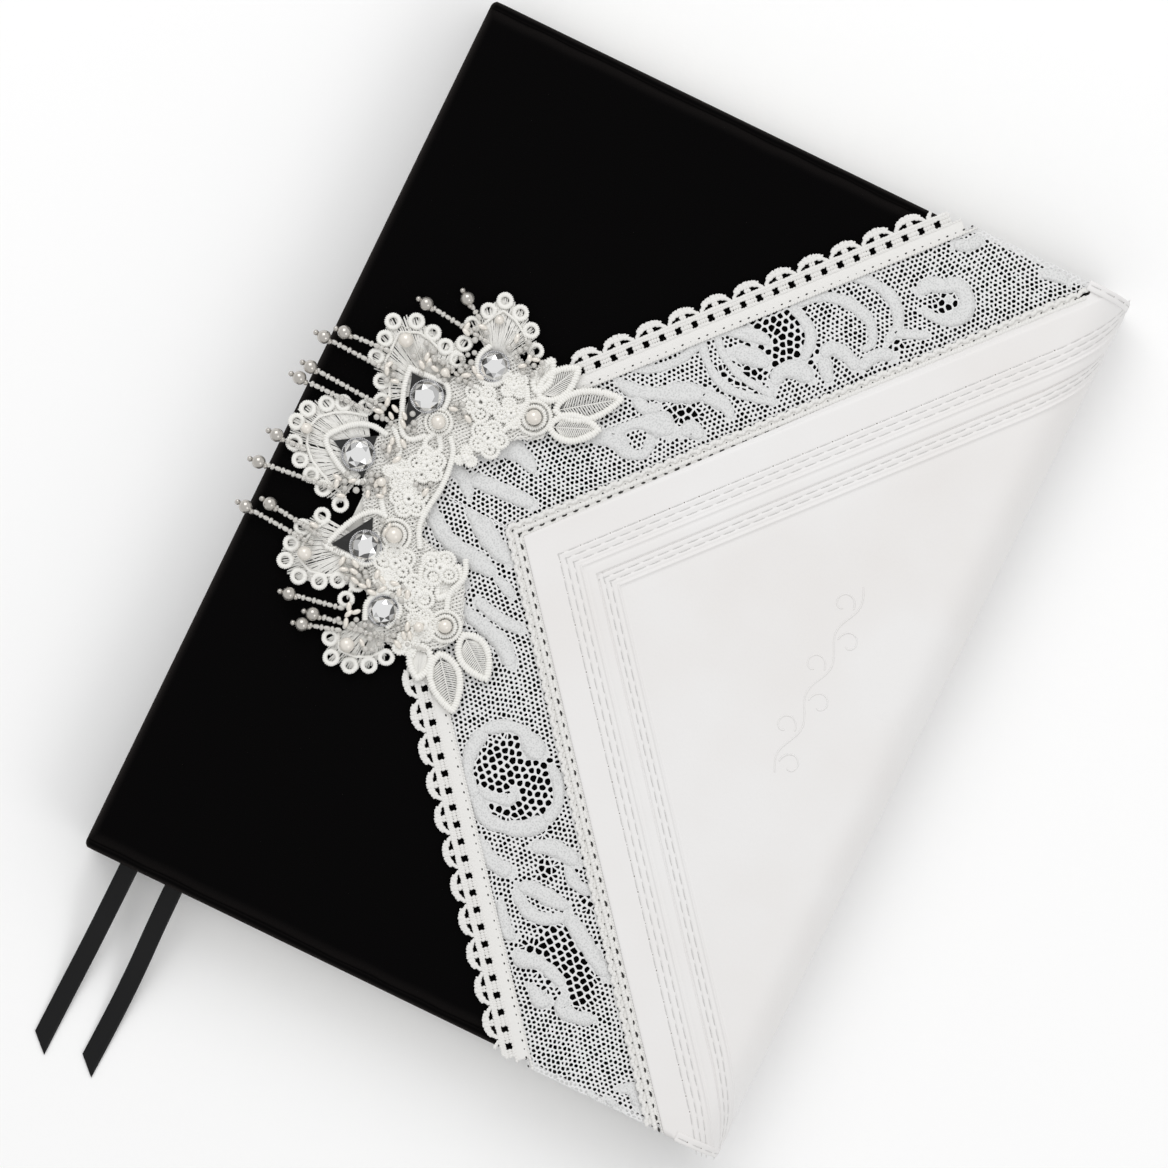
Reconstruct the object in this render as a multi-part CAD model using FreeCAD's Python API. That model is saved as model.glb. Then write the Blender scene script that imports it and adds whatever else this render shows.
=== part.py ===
"""A wedding guest book: a velvet case, a sewn text block, and a white flap with lace and beads.

Millimetres. The closed book lies on its back cover. +X runs from the spine to the fore-edge,
+Y from the tail to the head and +Z up. The origin is the middle of the back cover's underside.
"""
import FreeCAD
import Part

import math
import os

# ---- driving sizes ---------------------------------------------------------------------------
page_width = 148.0
page_height = 210.0
signature_thickness = 1.6  # one sewn section of folded sheets
signatures_per_half = 4
flyleaf_thickness = 0.2
mull_thickness = 0.3  # lining glued on the back of the sections
half_gap = 0.5  # between the halves of the text block, where the ribbons lie

board_thickness = 2.0
board_overhang = 3.2  # how far a board reaches past the pages at head and tail
fore_overhang = 3.0
velvet_thickness = 0.8
wadding_thickness = 1.2
pastedown_thickness = 0.3
spine_board_thickness = 1.6
spine_gap = 0.6  # between the spine board and the text block
joint_width = 5.6  # hinge of cloth between the text block's back and a cover board
rim_width = 1.8  # flat stitched rim of the velvet at head and tail
rim_drop = 1.4  # how far the rim lies below the padded face
pad_rounding = 1.1
cover_clearance = 0.3  # between the closed front cover and the pages
hinge_clearance = 0.3
hinge_gap = 0.1  # from a hinge line to the velvet of its cover

leather_thickness = 0.9
lining_thickness = 0.3
tuck_height = 0.35
flap_clearance = 0.2
flap_reach = 93.2  # from the fold to the point of the leather
flap_overhang = 1.5  # how far the flap stands past the covers at head and tail
fold_clearance = 0.3
gusset_bulge = 9.2  # how far the wrapped leather stands out past the covers
gusset_end_angle = 72.0
hem_width = 2.4
hem_raise = 0.3

gimp_width = 3.6
lace_width = 22.2
braid_width = 2.9
picot_width = 6.3
lace_thickness = 0.5
trim_thickness = 0.7
mitre_gap = 0.1
trim_start = 37.0  # where the braid and the picot come out from under the applique

ribbon_width = 4.5
ribbon_thickness = 0.3
ribbon_reach = 53.9  # from the page edge to the longer corner of a ribbon's slanted end
ribbon_offsets = (8.3, 19.8)  # from the text block's back to each ribbon's middle

motif_setback = 23.5  # from the leather's point to the middle of the applique
net_thickness = 0.4
patch_thickness = 0.4
cord_motif_thickness = 1.8
eyelet_radius = 2.5
strand_radius = 0.6
strand_pearl_radius = 1.35
cup_radius = 4.3
cup_thickness = 0.8
crystal_radius = 3.1
crystal_height = 2.8
magnet_radius = 5.0
magnet_thickness = 1.0
magnet_setback = 7.0  # from the middle of the applique to the magnets

# ---- worked out ------------------------------------------------------------------------------
total_width = (velvet_thickness + spine_board_thickness + spine_gap + page_width
               + fore_overhang + velvet_thickness + gusset_bulge)
spine_face_x = -total_width / 2
spine_board_x = spine_face_x + velvet_thickness
page_left = spine_board_x + spine_board_thickness + spine_gap
page_right = page_left + page_width
hinge_x = spine_board_x + spine_board_thickness / 2
cover_left = hinge_x + hinge_gap
board_left = page_left + joint_width - spine_gap
board_right = page_right + fore_overhang
velvet_right = board_right + velvet_thickness
page_half = page_height / 2
board_half = page_half + board_overhang
cover_half = board_half + velvet_thickness
pad_half = cover_half - rim_width
wadding_half = pad_half - velvet_thickness
flap_half = cover_half + flap_overhang

cover_thickness = velvet_thickness + wadding_thickness + board_thickness + pastedown_thickness
half_thickness = signatures_per_half * signature_thickness + flyleaf_thickness
back_top = cover_thickness + half_thickness
front_bottom = back_top + half_gap
front_top = front_bottom + half_thickness
front_cover_z = front_top + cover_clearance
book_top = front_cover_z + cover_thickness

back_hinge_z = cover_thickness / 2
front_hinge_z = book_top - cover_thickness / 2

flap_z = book_top + flap_clearance
leather_z = flap_z + lining_thickness
flap_top = leather_z + leather_thickness
fold_x = velvet_right - velvet_thickness
flap_end = fold_x - fold_clearance
tip_x = flap_end - flap_reach
edge_angle = math.atan((flap_half - hem_width / 2) / flap_reach)
flap_turn = -1.35  # degrees that the hand-sewn flap lies off square, about its point

lace_z = flap_z + 0.1
lace_top = lace_z + lace_thickness
net_z = lace_top + patch_thickness
net_top = net_z + net_thickness
motif_x = tip_x - motif_setback
motif_top = net_top + cord_motif_thickness


# ---- helpers ---------------------------------------------------------------------------------
def block(x0, x1, y0, y1, z0, z1):
    return Part.makeBox(x1 - x0, y1 - y0, z1 - z0, FreeCAD.Vector(x0, y0, z0))


def slab(outline, z0, z1):
    """A flat piece of the given outline, from z0 to z1."""
    points = [FreeCAD.Vector(x, y, z0) for x, y in outline]
    face = Part.Face(Part.makePolygon(points + points[:1]))
    return face.extrude(FreeCAD.Vector(0, 0, z1 - z0))


def disc(x, y, radius, z0, z1):
    return Part.makeCylinder(radius, z1 - z0, FreeCAD.Vector(x, y, z0))


def fused(solids):
    whole = solids[0]
    for solid in solids[1:]:
        whole = whole.fuse(solid)
    return whole.removeSplitter()


def mirrored(shape):
    """The same piece on the tail's side."""
    return shape.mirror(FreeCAD.Vector(0, 0, 0), FreeCAD.Vector(0, 1, 0))


def half_model(z_middle, shape):
    """The same piece turned upside down about a level plane."""
    return shape.mirror(FreeCAD.Vector(0, 0, z_middle), FreeCAD.Vector(0, 0, 1))


# ---- the front cover: velvet over wadding over board, lined with paper --------------------------
def cover_velvet():
    """The front velvet: a padded face with a flat rim at head and tail, turned round the board."""
    rim_top = book_top - rim_drop
    rim = block(cover_left, velvet_right, -cover_half, cover_half, front_cover_z, rim_top)
    pad = block(cover_left, velvet_right, -pad_half, pad_half, rim_top - 0.2, book_top)
    top_edges = [edge for edge in pad.Edges
                 if all(abs(v.Z - book_top) < 1e-6 for v in edge.Vertexes)]
    pad = pad.makeFillet(pad_rounding, top_edges)
    board_top = front_cover_z + pastedown_thickness + board_thickness
    board_space = block(board_left, board_right, -board_half, board_half,
                        front_cover_z - 1, board_top)
    wadding_space = block(board_left, board_right, -wadding_half, wadding_half,
                          board_top - 0.1, board_top + wadding_thickness)
    joint_space = block(cover_left - 1, board_left + 0.1, -cover_half - 1, cover_half + 1,
                        front_cover_z - 1, rim_top - velvet_thickness)
    return rim.fuse(pad).cut(board_space).cut(wadding_space).cut(joint_space).removeSplitter()


def cover_board():
    z0 = front_cover_z + pastedown_thickness
    return block(board_left, board_right, -board_half, board_half, z0, z0 + board_thickness)


def cover_wadding():
    z0 = front_cover_z + pastedown_thickness + board_thickness
    return block(board_left, board_right, -wadding_half, wadding_half, z0, z0 + wadding_thickness)


def cover_pastedown():
    return block(board_left, board_right, -board_half, board_half,
                 front_cover_z, front_cover_z + pastedown_thickness)


def magnet(x, z0):
    return disc(x, 0, magnet_radius, z0, z0 + magnet_thickness)


def back_of(front_piece):
    return half_model(book_top / 2, front_piece)


# ---- the spine ---------------------------------------------------------------------------------
def spine_strip(x0, x1):
    return block(x0, x1, -cover_half, cover_half,
                 back_hinge_z + hinge_clearance, front_hinge_z - hinge_clearance)


# ---- the text block ----------------------------------------------------------------------------
def leaves(z0, thickness, back=page_left):
    return block(back, page_right, -page_half, page_half, z0, z0 + thickness)


def end_band(sign):
    """A rolled band of silk glued over the end of the text block's back."""
    length = back_top - cover_thickness
    band = Part.makeCylinder(0.8, length, FreeCAD.Vector(page_left + 0.8, 0, cover_thickness))
    return band.translated(FreeCAD.Vector(0, sign * (page_half + 0.8), 0))


def ribbon_inner(offset):
    x = page_left + offset
    z = (back_top + front_bottom) / 2
    return block(x - ribbon_width / 2, x + ribbon_width / 2, -page_half, page_half,
                 z - ribbon_thickness / 2, z + ribbon_thickness / 2)


def ribbon_route():
    """(y, z) of a ribbon's tail: out of the pages, over the rim and down to the table."""
    exit_z = (back_top + front_bottom) / 2
    lying_z = ribbon_thickness / 2 + 0.1
    return [(-page_half, exit_z), (-page_half - 12, exit_z - 0.15),
            (-page_half - 26, lying_z + 3.75), (-page_half - 40, lying_z),
            (-page_half - ribbon_reach, lying_z)]


def rounded_path(points):
    """Straight runs joined by tangent arcs, as edges in the plane of Y and Z."""
    corners = [FreeCAD.Vector(0, y, z) for y, z in points]
    edges = []
    start = corners[0]
    for before, corner, after in zip(corners, corners[1:], corners[2:]):
        back = before - corner
        ahead = after - corner
        turn = math.pi - back.getAngle(ahead)
        inset = 0.45 * min(back.Length, ahead.Length)
        radius = inset / math.tan(turn / 2)
        print("ribbon bend radius %.1f mm" % radius)
        back.normalize()
        ahead.normalize()
        first = corner + back * inset
        last = corner + ahead * inset
        middle_way = (back + ahead).normalize()
        middle = corner + middle_way * (radius / math.cos(turn / 2) - radius)
        edges.append(Part.LineSegment(start, first).toShape())
        edges.append(Part.Arc(first, middle, last).toShape())
        start = last
    edges.append(Part.LineSegment(start, corners[-1]).toShape())
    return edges


def ribbon_tail(offset):
    """A flat strip along the route, cut slantwise at its end."""
    wire = Part.Wire(rounded_path(ribbon_route()))
    start_z = (back_top + front_bottom) / 2
    x = page_left + offset
    y = -page_half
    corners = [FreeCAD.Vector(x + side * ribbon_width / 2, y, start_z + up * ribbon_thickness / 2)
               for side, up in ((-1, -1), (1, -1), (1, 1), (-1, 1))]
    section = Part.makePolygon(corners + corners[:1])
    wire.translate(FreeCAD.Vector(x, 0, 0))
    strip = wire.makePipeShell([section], True, True)
    print("ribbon tail: length %.1f, volume %.2f, section times length %.2f" % (
        wire.Length, strip.Volume, wire.Length * ribbon_width * ribbon_thickness))
    end_y = -page_half - ribbon_reach
    cutter = slab([(x - ribbon_width, end_y - 1), (x + ribbon_width, end_y - 1),
                   (x + ribbon_width, end_y - 1.6), (x + ribbon_width / 2, end_y),
                   (x - ribbon_width / 2, end_y + 4.2), (x - ribbon_width, end_y + 4.2)],
                  -1, start_z + 1)
    return strip.cut(cutter)


# ---- the flap ----------------------------------------------------------------------------------
def laid_on(shape, z0, z1):
    """A flap piece turned about the point as it is sewn, and trimmed at the fold, head and tail."""
    shape.rotate(FreeCAD.Vector(tip_x, 0, 0), FreeCAD.Vector(0, 0, 1), flap_turn)
    return shape.common(block(2 * spine_face_x, flap_end, -flap_half, flap_half, z0, z1))


def edge_band(inner, outer, z0, z1, side, start=mitre_gap / 2):
    """One half of a strip that runs along the leather's slanting edge, side 1 head and -1 tail.

    inner and outer are its distances from that edge, and both halves meet on the middle line.
    """
    ahead = FreeCAD.Vector(math.cos(edge_angle), side * math.sin(edge_angle), 0)
    outward = FreeCAD.Vector(-math.sin(edge_angle), side * math.cos(edge_angle), 0)
    tip = FreeCAD.Vector(tip_x, 0, 0)
    far = 2 * flap_half
    corners = [tip + ahead * along + outward * away
               for along, away in ((-far, inner), (far, inner), (far, outer), (-far, outer))]
    strip = slab([(p.x, p.y) for p in corners], z0, z1)
    near, away = sorted((side * start, side * far))
    return laid_on(strip.common(block(-far, far, near, away, z0, z1)), z0, z1)


def inside_edge(inset, z0, z1):
    """The triangle of leather that lies at least inset inside the slanting edges."""
    point = tip_x + inset / math.sin(edge_angle)
    reach = 2 * flap_half
    side = (reach - point) * math.tan(edge_angle)
    return laid_on(slab([(point, 0), (reach, -side), (reach, side)], z0, z1), z0, z1)


def tuck_ridge(outer, inner):
    """A raised band of pin tucks, as a V along both slanting edges."""
    z0 = flap_top - 0.1
    z1 = flap_top + tuck_height
    return inside_edge(outer, z0, z1).cut(inside_edge(inner, z0, z1))


def flap_leather():
    panel = inside_edge(0, leather_z, flap_top)
    return fused([panel, tuck_ridge(7.0, 11.6), tuck_ridge(14.6, 19.0)])


def wrap(inner_off, outer_off, y0, y1):
    """Leather wrapped round the fore-edge, from the fold down to the back cover's edge.

    The offsets are measured inwards from the outermost curve.
    """
    reach = total_width / 2 - fold_x
    rise = (flap_top - 0.4) / 2
    middle_z = flap_top - rise
    lower = math.radians(gusset_end_angle)
    clear = math.asin(min(1.0, fold_clearance / reach))

    def arc_points(off):
        steps = 14
        angles = [math.pi / 2 - clear - (math.pi / 2 - clear + lower) * i / steps
                  for i in range(steps + 1)]
        return [FreeCAD.Vector(fold_x + (reach - off) * math.cos(a), y0,
                               middle_z + (rise - off) * math.sin(a)) for a in angles]

    outside = arc_points(outer_off)
    inside = arc_points(inner_off)
    outside_curve = Part.BSplineCurve()
    outside_curve.interpolate(outside)
    inside_curve = Part.BSplineCurve()
    inside_curve.interpolate(inside)
    wire = Part.Wire([outside_curve.toShape(), Part.LineSegment(outside[-1], inside[-1]).toShape(),
                      inside_curve.toShape(), Part.LineSegment(inside[0], outside[0]).toShape()])
    return Part.Face(wire).extrude(FreeCAD.Vector(0, y1 - y0, 0))


# ---- the applique: (x, y) from its middle, the head side given as it lies ------------------------
# Each petal has its hub and then the eyelets round its rim.
petals = [
    ((0.0, 32.0), [(-8.2, 38.8), (-6.4, 43.4), (-4.0, 47.2), (0.4, 46.2), (4.4, 43.6), (7.4, 40.0)]),
    ((-10.4, 20.0), [(-19.8, 13.6), (-21.4, 18.0), (-25.0, 22.6), (-25.0, 27.4), (-25.0, 31.6),
                     (-20.4, 34.0), (-15.7, 33.2), (-12.0, 31.6), (-8.2, 30.6)]),
    ((-16.4, 0.4), [(-27.4, 9.8), (-30.8, 7.8), (-34.2, 5.0), (-35.4, 1.0), (-33.8, -3.8),
                    (-30.6, -6.8), (-26.8, -9.0)]),
    ((-8.4, -17.4), [(-17.8, -11.6), (-20.4, -15.8), (-24.0, -19.8), (-24.0, -24.2), (-23.6, -28.8),
                     (-19.2, -31.0), (-14.4, -29.8), (-10.6, -27.6), (-6.2, -26.6)]),
    ((2.2, -30.0), [(-6.6, -40.0), (-4.2, -44.4), (0.2, -44.4), (4.4, -42.6), (7.4, -39.0)]),
]
crystals = [(0.2, 32.0), (-10.4, 20.0), (-18.6, 0.8), (-8.2, -17.6), (2.2, -29.8)]
# Corded flowers: x, y and radius.
flowers = [(1.0, 22.0, 5.0), (7.0, 15.0, 5.2), (13.6, 25.6, 4.6), (-1.0, 8.0, 5.2), (-2.2, 0.0, 5.4),
           (-1.0, -8.0, 5.2), (4.6, -16.6, 5.0), (11.0, -14.4, 4.6), (8.6, -23.6, 4.8),
           (17.0, -26.6, 4.4), (7.4, 28.4, 4.2), (10.6, -33.0, 3.8)]
# Corded leaves: the two ends and half the width.
leaf_places = [((9.4, 30.4), (15.4, 40.6), 2.6), ((17.6, 30.6), (30.0, 37.6), 2.9),
               ((18.0, 26.0), (28.4, 30.4), 2.4), ((20.4, -27.6), (30.4, -33.4), 2.9),
               ((16.4, -32.0), (27.0, -43.4), 2.9)]
# Loose pearls: x, y, radius and whether they sit on a flower.
pearl_places = [(-20.6, 28.8, 1.6, False), (13.8, 25.6, 1.8, True), (-5.6, 13.2, 1.6, False),
                (-3.4, -12.4, 1.7, True), (-20.0, -25.6, 1.6, False), (16.8, -27.0, 1.6, True),
                (-2.2, -40.4, 1.7, False), (-0.4, 39.6, 1.1, False), (-32.2, 0.6, 1.2, False),
                (-14.4, 27.6, 1.2, False)]
# Beaded strands: where each is sewn down, and its end pearl.
strands = [((-5.0, 40.0), (-12.2, 43.8)), ((-7.4, 37.4), (-20.0, 38.8)), ((-21.8, 24.0), (-34.2, 24.4)),
           ((-21.8, 21.0), (-38.2, 21.6)), ((-20.0, 12.6), (-38.0, 13.8)), ((-24.6, 11.0), (-39.0, 10.2)),
           ((-33.0, -3.8), (-38.2, -3.8)), ((-22.8, -10.8), (-39.2, -11.2)), ((-17.0, -20.0), (-32.6, -18.8)),
           ((-22.0, -22.2), (-37.2, -21.8)), ((-9.0, -33.6), (-19.6, -35.6)), ((-7.6, -36.4), (-12.8, -37.4)),
           ((-5.6, -38.4), (-13.8, -40.6))]


def leaf(start, end, half_width, z0, z1):
    """A pointed oval between two ends, of two arcs."""
    first = FreeCAD.Vector(motif_x + start[0], start[1], z0)
    last = FreeCAD.Vector(motif_x + end[0], end[1], z0)
    across = (last - first).cross(FreeCAD.Vector(0, 0, 1)).normalize() * half_width
    middle = (first + last) * 0.5
    wire = Part.Wire([Part.Arc(first, middle + across, last).toShape(),
                      Part.Arc(last, middle - across, first).toShape()])
    return Part.Face(wire).extrude(FreeCAD.Vector(0, 0, z1 - z0))


def petal(hub, eyelets):
    """A fan of net: its scalloped rim of eyelets, and the net between them and the hub."""
    fan = slab([(motif_x + x, y) for x, y in [hub, *eyelets]], net_z, net_top)
    scallops = [disc(motif_x + x, y, eyelet_radius + 0.4, net_z, net_top) for x, y in eyelets]
    return fused([fan, *scallops])


def petal_nets():
    """The five fans, each cut back to the one before it so that they only meet."""
    made = []
    for hub, eyelets in petals:
        net = petal(hub, eyelets)
        for other in made:
            net = net.cut(other)
        made.append(max(net.Solids, key=lambda solid: solid.Volume))
    return made


def cups():
    return [disc(motif_x + x, y, cup_radius, net_top, net_top + cup_thickness) for x, y in crystals]


def crystal_stones():
    """Faceted stones: a short round girdle under a flat-topped cone."""
    z0 = net_top + cup_thickness
    girdle = 0.8
    table = 0.55 * crystal_radius
    return [disc(motif_x + x, y, crystal_radius, z0, z0 + girdle).fuse(
        Part.makeCone(crystal_radius, table, crystal_height - girdle,
                      FreeCAD.Vector(motif_x + x, y, z0 + girdle))) for x, y in crystals]


def cord_flowers():
    """The embroidered flowers as one thick piece, cut back round the cups."""
    body = fused([disc(motif_x + x, y, r, net_top, motif_top) for x, y, r in flowers])
    for x, y in crystals:
        body = body.cut(disc(motif_x + x, y, cup_radius + 0.1, net_top - 1, motif_top + 1))
    return body


def cord_leaves():
    body = [leaf(start, end, width, net_top, net_top + 1.0) for start, end, width in leaf_places]
    clear_of = fused([disc(motif_x + x, y, r + 0.1, net_top - 1, motif_top + 1) for x, y, r in flowers])
    return [solid.cut(clear_of) for solid in body]


def pearls():
    return [Part.makeSphere(r, FreeCAD.Vector(motif_x + x, y, (motif_top if high else net_top) + r))
            for x, y, r, high in pearl_places]


def strand_height():
    return net_top + strand_radius


def strand_parts():
    """The beaded strands and the pearls at their free ends."""
    z = strand_height()
    rods = []
    ends = []
    for (sx, sy), (px, py) in strands:
        start = FreeCAD.Vector(motif_x + sx, sy, z)
        end = FreeCAD.Vector(motif_x + px, py, z)
        way = end - start
        rods.append(Part.makeCylinder(strand_radius, way.Length - strand_pearl_radius, start, way))
        ends.append(Part.makeSphere(strand_pearl_radius, end))
    return rods, ends


def backing_patch():
    """The felt patch under the flowers, on the lace, with a pocket for the magnet."""
    outline = [(motif_x - 14, -24), (motif_x - 14, 24), (motif_x + 4, 30), (motif_x - 1, 10),
               (motif_x - 1, -10), (motif_x + 4, -30)]
    return slab(outline, lace_top, net_z)


# ---- put together ------------------------------------------------------------------------------
os.makedirs("parts", exist_ok=True)
nodes = {}

front_board = cover_board()
magnet_x = motif_x - magnet_setback
cover_magnet = magnet(magnet_x, front_cover_z + pastedown_thickness + board_thickness - magnet_thickness)
nodes["front_board"] = front_board.cut(cover_magnet)
nodes["front_wadding"] = cover_wadding()
nodes["front_velvet"] = cover_velvet()
nodes["front_pastedown"] = cover_pastedown()
nodes["cover_magnet"] = cover_magnet
nodes["back_board"] = back_of(front_board)
nodes["back_wadding"] = back_of(cover_wadding())
nodes["back_velvet"] = back_of(cover_velvet())
nodes["back_pastedown"] = back_of(cover_pastedown())

nodes["spine_board"] = spine_strip(spine_board_x, spine_board_x + spine_board_thickness)
nodes["spine_velvet"] = spine_strip(spine_face_x, spine_board_x)

nodes["back_flyleaf"] = leaves(cover_thickness, flyleaf_thickness)
nodes["front_flyleaf"] = leaves(front_top - flyleaf_thickness, flyleaf_thickness)
for number in range(signatures_per_half):
    lift = number * signature_thickness
    back_z = cover_thickness + flyleaf_thickness + lift
    nodes[f"back_signature_{number + 1}"] = leaves(back_z, signature_thickness,
                                                   page_left + mull_thickness)
    nodes[f"front_signature_{number + 1}"] = leaves(front_bottom + lift, signature_thickness)
nodes["spine_lining"] = block(page_left, page_left + mull_thickness, -page_half, page_half,
                              cover_thickness + flyleaf_thickness, back_top)
nodes["head_band"] = end_band(1)
nodes["tail_band"] = end_band(-1)
for name, offset in zip(("left", "right"), ribbon_offsets):
    nodes[f"ribbon_{name}_inner"] = ribbon_inner(offset)
    nodes[f"ribbon_{name}_tail"] = ribbon_tail(offset)

plain_half = flap_half - hem_width
nodes["gusset_lining"] = wrap(hem_raise + leather_thickness + lining_thickness,
                              hem_raise + leather_thickness, -plain_half, plain_half)
nodes["fore_edge_gusset"] = wrap(hem_raise + leather_thickness, hem_raise, -plain_half, plain_half)
hem = wrap(hem_raise + leather_thickness, 0, plain_half, flap_half)
nodes["gusset_hems"] = Part.makeCompound([hem, mirrored(hem)])

nodes["flap_lining"] = inside_edge(0, flap_z, leather_z)
nodes["flap_leather"] = flap_leather()
lace_end = gimp_width + lace_width
trims = {"lace": (0, lace_end + braid_width, lace_z, lace_top, mitre_gap / 2),
         "gimp": (0, gimp_width, lace_top, lace_top + trim_thickness, mitre_gap / 2),
         "braid": (lace_end, lace_end + braid_width, lace_top, lace_top + trim_thickness, trim_start),
         "picot": (lace_end + braid_width, lace_end + braid_width + picot_width,
                   lace_z, lace_z + trim_thickness, trim_start)}
for name, (inner, outer, z0, z1, start) in trims.items():
    nodes[f"{name}_head"] = edge_band(inner, outer, z0, z1, 1, start)
    nodes[f"{name}_tail"] = edge_band(inner, outer, z0, z1, -1, start)

patch = backing_patch()
flap_magnet = disc(magnet_x, 0, magnet_radius - 1, lace_top, net_z)
nodes["applique_patch"] = patch.cut(flap_magnet)
nodes["flap_magnet"] = flap_magnet
for number, net in enumerate(petal_nets(), start=1):
    nodes[f"petal_net_{number}"] = net
nodes["cord_flowers"] = cord_flowers()
nodes["cord_leaves"] = Part.makeCompound(cord_leaves())
nodes["crystal_cups"] = Part.makeCompound(cups())
nodes["crystals"] = Part.makeCompound(crystal_stones())
nodes["pearls"] = Part.makeCompound(pearls())
rods, ends = strand_parts()
nodes["fringe_strands"] = Part.makeCompound(rods)
nodes["fringe_pearls"] = Part.makeCompound(ends)

for name, shape in nodes.items():
    assert shape.isValid() and shape.Volume > 0, name
    shape.exportStep(f"parts/{name}.step")
print(len(nodes), "nodes")
print("hinges: x %.2f, z %.2f and %.2f; pages x %.2f z %.2f; fold x %.2f z %.2f" % (
    hinge_x, back_hinge_z, front_hinge_z, page_left, front_bottom, fold_x, flap_top))
print("edge angle %.2f, tip %.2f, applique middle %.2f" % (math.degrees(edge_angle), tip_x, motif_x))
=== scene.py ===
import math
import random

import bmesh
import bpy
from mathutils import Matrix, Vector


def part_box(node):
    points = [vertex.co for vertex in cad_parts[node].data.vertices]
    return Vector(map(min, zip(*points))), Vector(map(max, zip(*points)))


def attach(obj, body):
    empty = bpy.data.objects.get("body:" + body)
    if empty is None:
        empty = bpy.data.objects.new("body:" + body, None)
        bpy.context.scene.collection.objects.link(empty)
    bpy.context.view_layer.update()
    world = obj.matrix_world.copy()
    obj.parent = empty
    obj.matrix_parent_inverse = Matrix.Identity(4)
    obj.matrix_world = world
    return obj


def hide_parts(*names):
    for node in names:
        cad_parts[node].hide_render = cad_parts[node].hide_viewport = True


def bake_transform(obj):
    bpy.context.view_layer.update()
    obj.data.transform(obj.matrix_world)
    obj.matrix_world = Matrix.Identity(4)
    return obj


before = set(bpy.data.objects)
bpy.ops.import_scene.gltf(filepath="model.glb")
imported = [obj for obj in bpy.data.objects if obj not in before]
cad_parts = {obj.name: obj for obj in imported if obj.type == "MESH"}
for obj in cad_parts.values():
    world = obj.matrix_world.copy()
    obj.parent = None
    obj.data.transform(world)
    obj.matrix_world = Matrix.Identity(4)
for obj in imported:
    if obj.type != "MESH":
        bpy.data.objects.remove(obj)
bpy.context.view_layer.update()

# The closed book lies on a pale table, seen straight from above and turned a quarter of the way
# to a diagonal. Two wide lamps and a bright room light it softly from the head side.
mm = 0.001
book_turn = math.radians(25.87)
eye_height = 1.4
cover_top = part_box("front_velvet")[1].z
camera_data = bpy.data.cameras.new("camera")
camera_data.sensor_width = 36
camera_data.lens = 36 * eye_height / 0.2705
camera = bpy.data.objects.new("camera", camera_data)
camera.location = (-4.0 * mm, -3.8 * mm, cover_top + eye_height)
camera.rotation_euler = (0, 0, book_turn)
bpy.context.collection.objects.link(camera)
bpy.context.scene.camera = camera
bpy.context.scene.view_settings.view_transform = "Standard"


def lamp(name, place, aim, width, power):
    """A square soft lamp that points at a place."""
    data = bpy.data.lights.new(name, "AREA")
    data.size = width
    data.energy = power
    light = bpy.data.objects.new(name, data)
    light.location = place
    light.rotation_euler = (Vector(aim) - Vector(place)).to_track_quat("-Z", "Y").to_euler()
    bpy.context.collection.objects.link(light)


lamp("head_lamp", (-0.5, 0.75, 0.95), (0, 0, 0), 0.9, 5.6)
lamp("fore_lamp", (0.75, -0.25, 0.9), (0, 0, 0), 0.5, 1.4)
room = bpy.data.worlds.new("room")
room.use_nodes = True
room.node_tree.nodes["Background"].inputs["Color"].default_value = (1, 1, 1, 1)
room.node_tree.nodes["Background"].inputs["Strength"].default_value = 0.74
bpy.context.scene.world = room


def new_finish(name, colour, roughness, **sockets):
    """A material with its plain colour and gloss; patterns are wired in where it is made."""
    material = bpy.data.materials.new(name)
    material.use_nodes = True
    shader = material.node_tree.nodes["Principled BSDF"]
    shader.inputs["Base Color"].default_value = (*colour, 1)
    shader.inputs["Roughness"].default_value = roughness
    for socket, value in sockets.items():
        shader.inputs[socket.replace("_", " ")].default_value = value
    return material


def pattern(material, kind, scale, place="Object", stretch=(1, 1, 1), turn=0.0, **settings):
    """A texture node on the piece's own coordinates; returns its factor output."""
    nodes = material.node_tree.nodes
    links = material.node_tree.links
    coordinates = nodes.new("ShaderNodeTexCoord")
    mapping = nodes.new("ShaderNodeMapping")
    mapping.inputs["Scale"].default_value = stretch
    mapping.inputs["Rotation"].default_value = (0, 0, turn)
    texture = nodes.new(kind)
    texture.inputs["Scale"].default_value = scale
    for socket, value in settings.items():
        texture.inputs[socket.replace("_", " ")].default_value = value
    links.new(coordinates.outputs[place], mapping.inputs["Vector"])
    links.new(mapping.outputs["Vector"], texture.inputs["Vector"])
    factor = texture.outputs.get("Fac") or texture.outputs.get("Distance")
    return factor


def raise_by(material, height, distance, strength=1.0):
    """Adds a bump from a pattern on top of the bumps the material already has."""
    nodes = material.node_tree.nodes
    links = material.node_tree.links
    shader = nodes["Principled BSDF"]
    bump = nodes.new("ShaderNodeBump")
    bump.inputs["Strength"].default_value = strength
    bump.inputs["Distance"].default_value = distance
    if shader.inputs["Normal"].links:
        links.new(shader.inputs["Normal"].links[0].from_socket, bump.inputs["Normal"])
    links.new(height, bump.inputs["Height"])
    links.new(bump.outputs["Normal"], shader.inputs["Normal"])


def shade_between(material, factor, low, high, dark, light, socket="Base Color"):
    """Colour that runs from dark to light as the pattern goes from low to high."""
    nodes = material.node_tree.nodes
    ramp = nodes.new("ShaderNodeValToRGB")
    ramp.color_ramp.elements[0].position = low
    ramp.color_ramp.elements[1].position = high
    ramp.color_ramp.elements[0].color = (*dark, 1)
    ramp.color_ramp.elements[1].color = (*light, 1)
    material.node_tree.links.new(factor, ramp.inputs["Fac"])
    material.node_tree.links.new(ramp.outputs["Color"], nodes["Principled BSDF"].inputs[socket])


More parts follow.
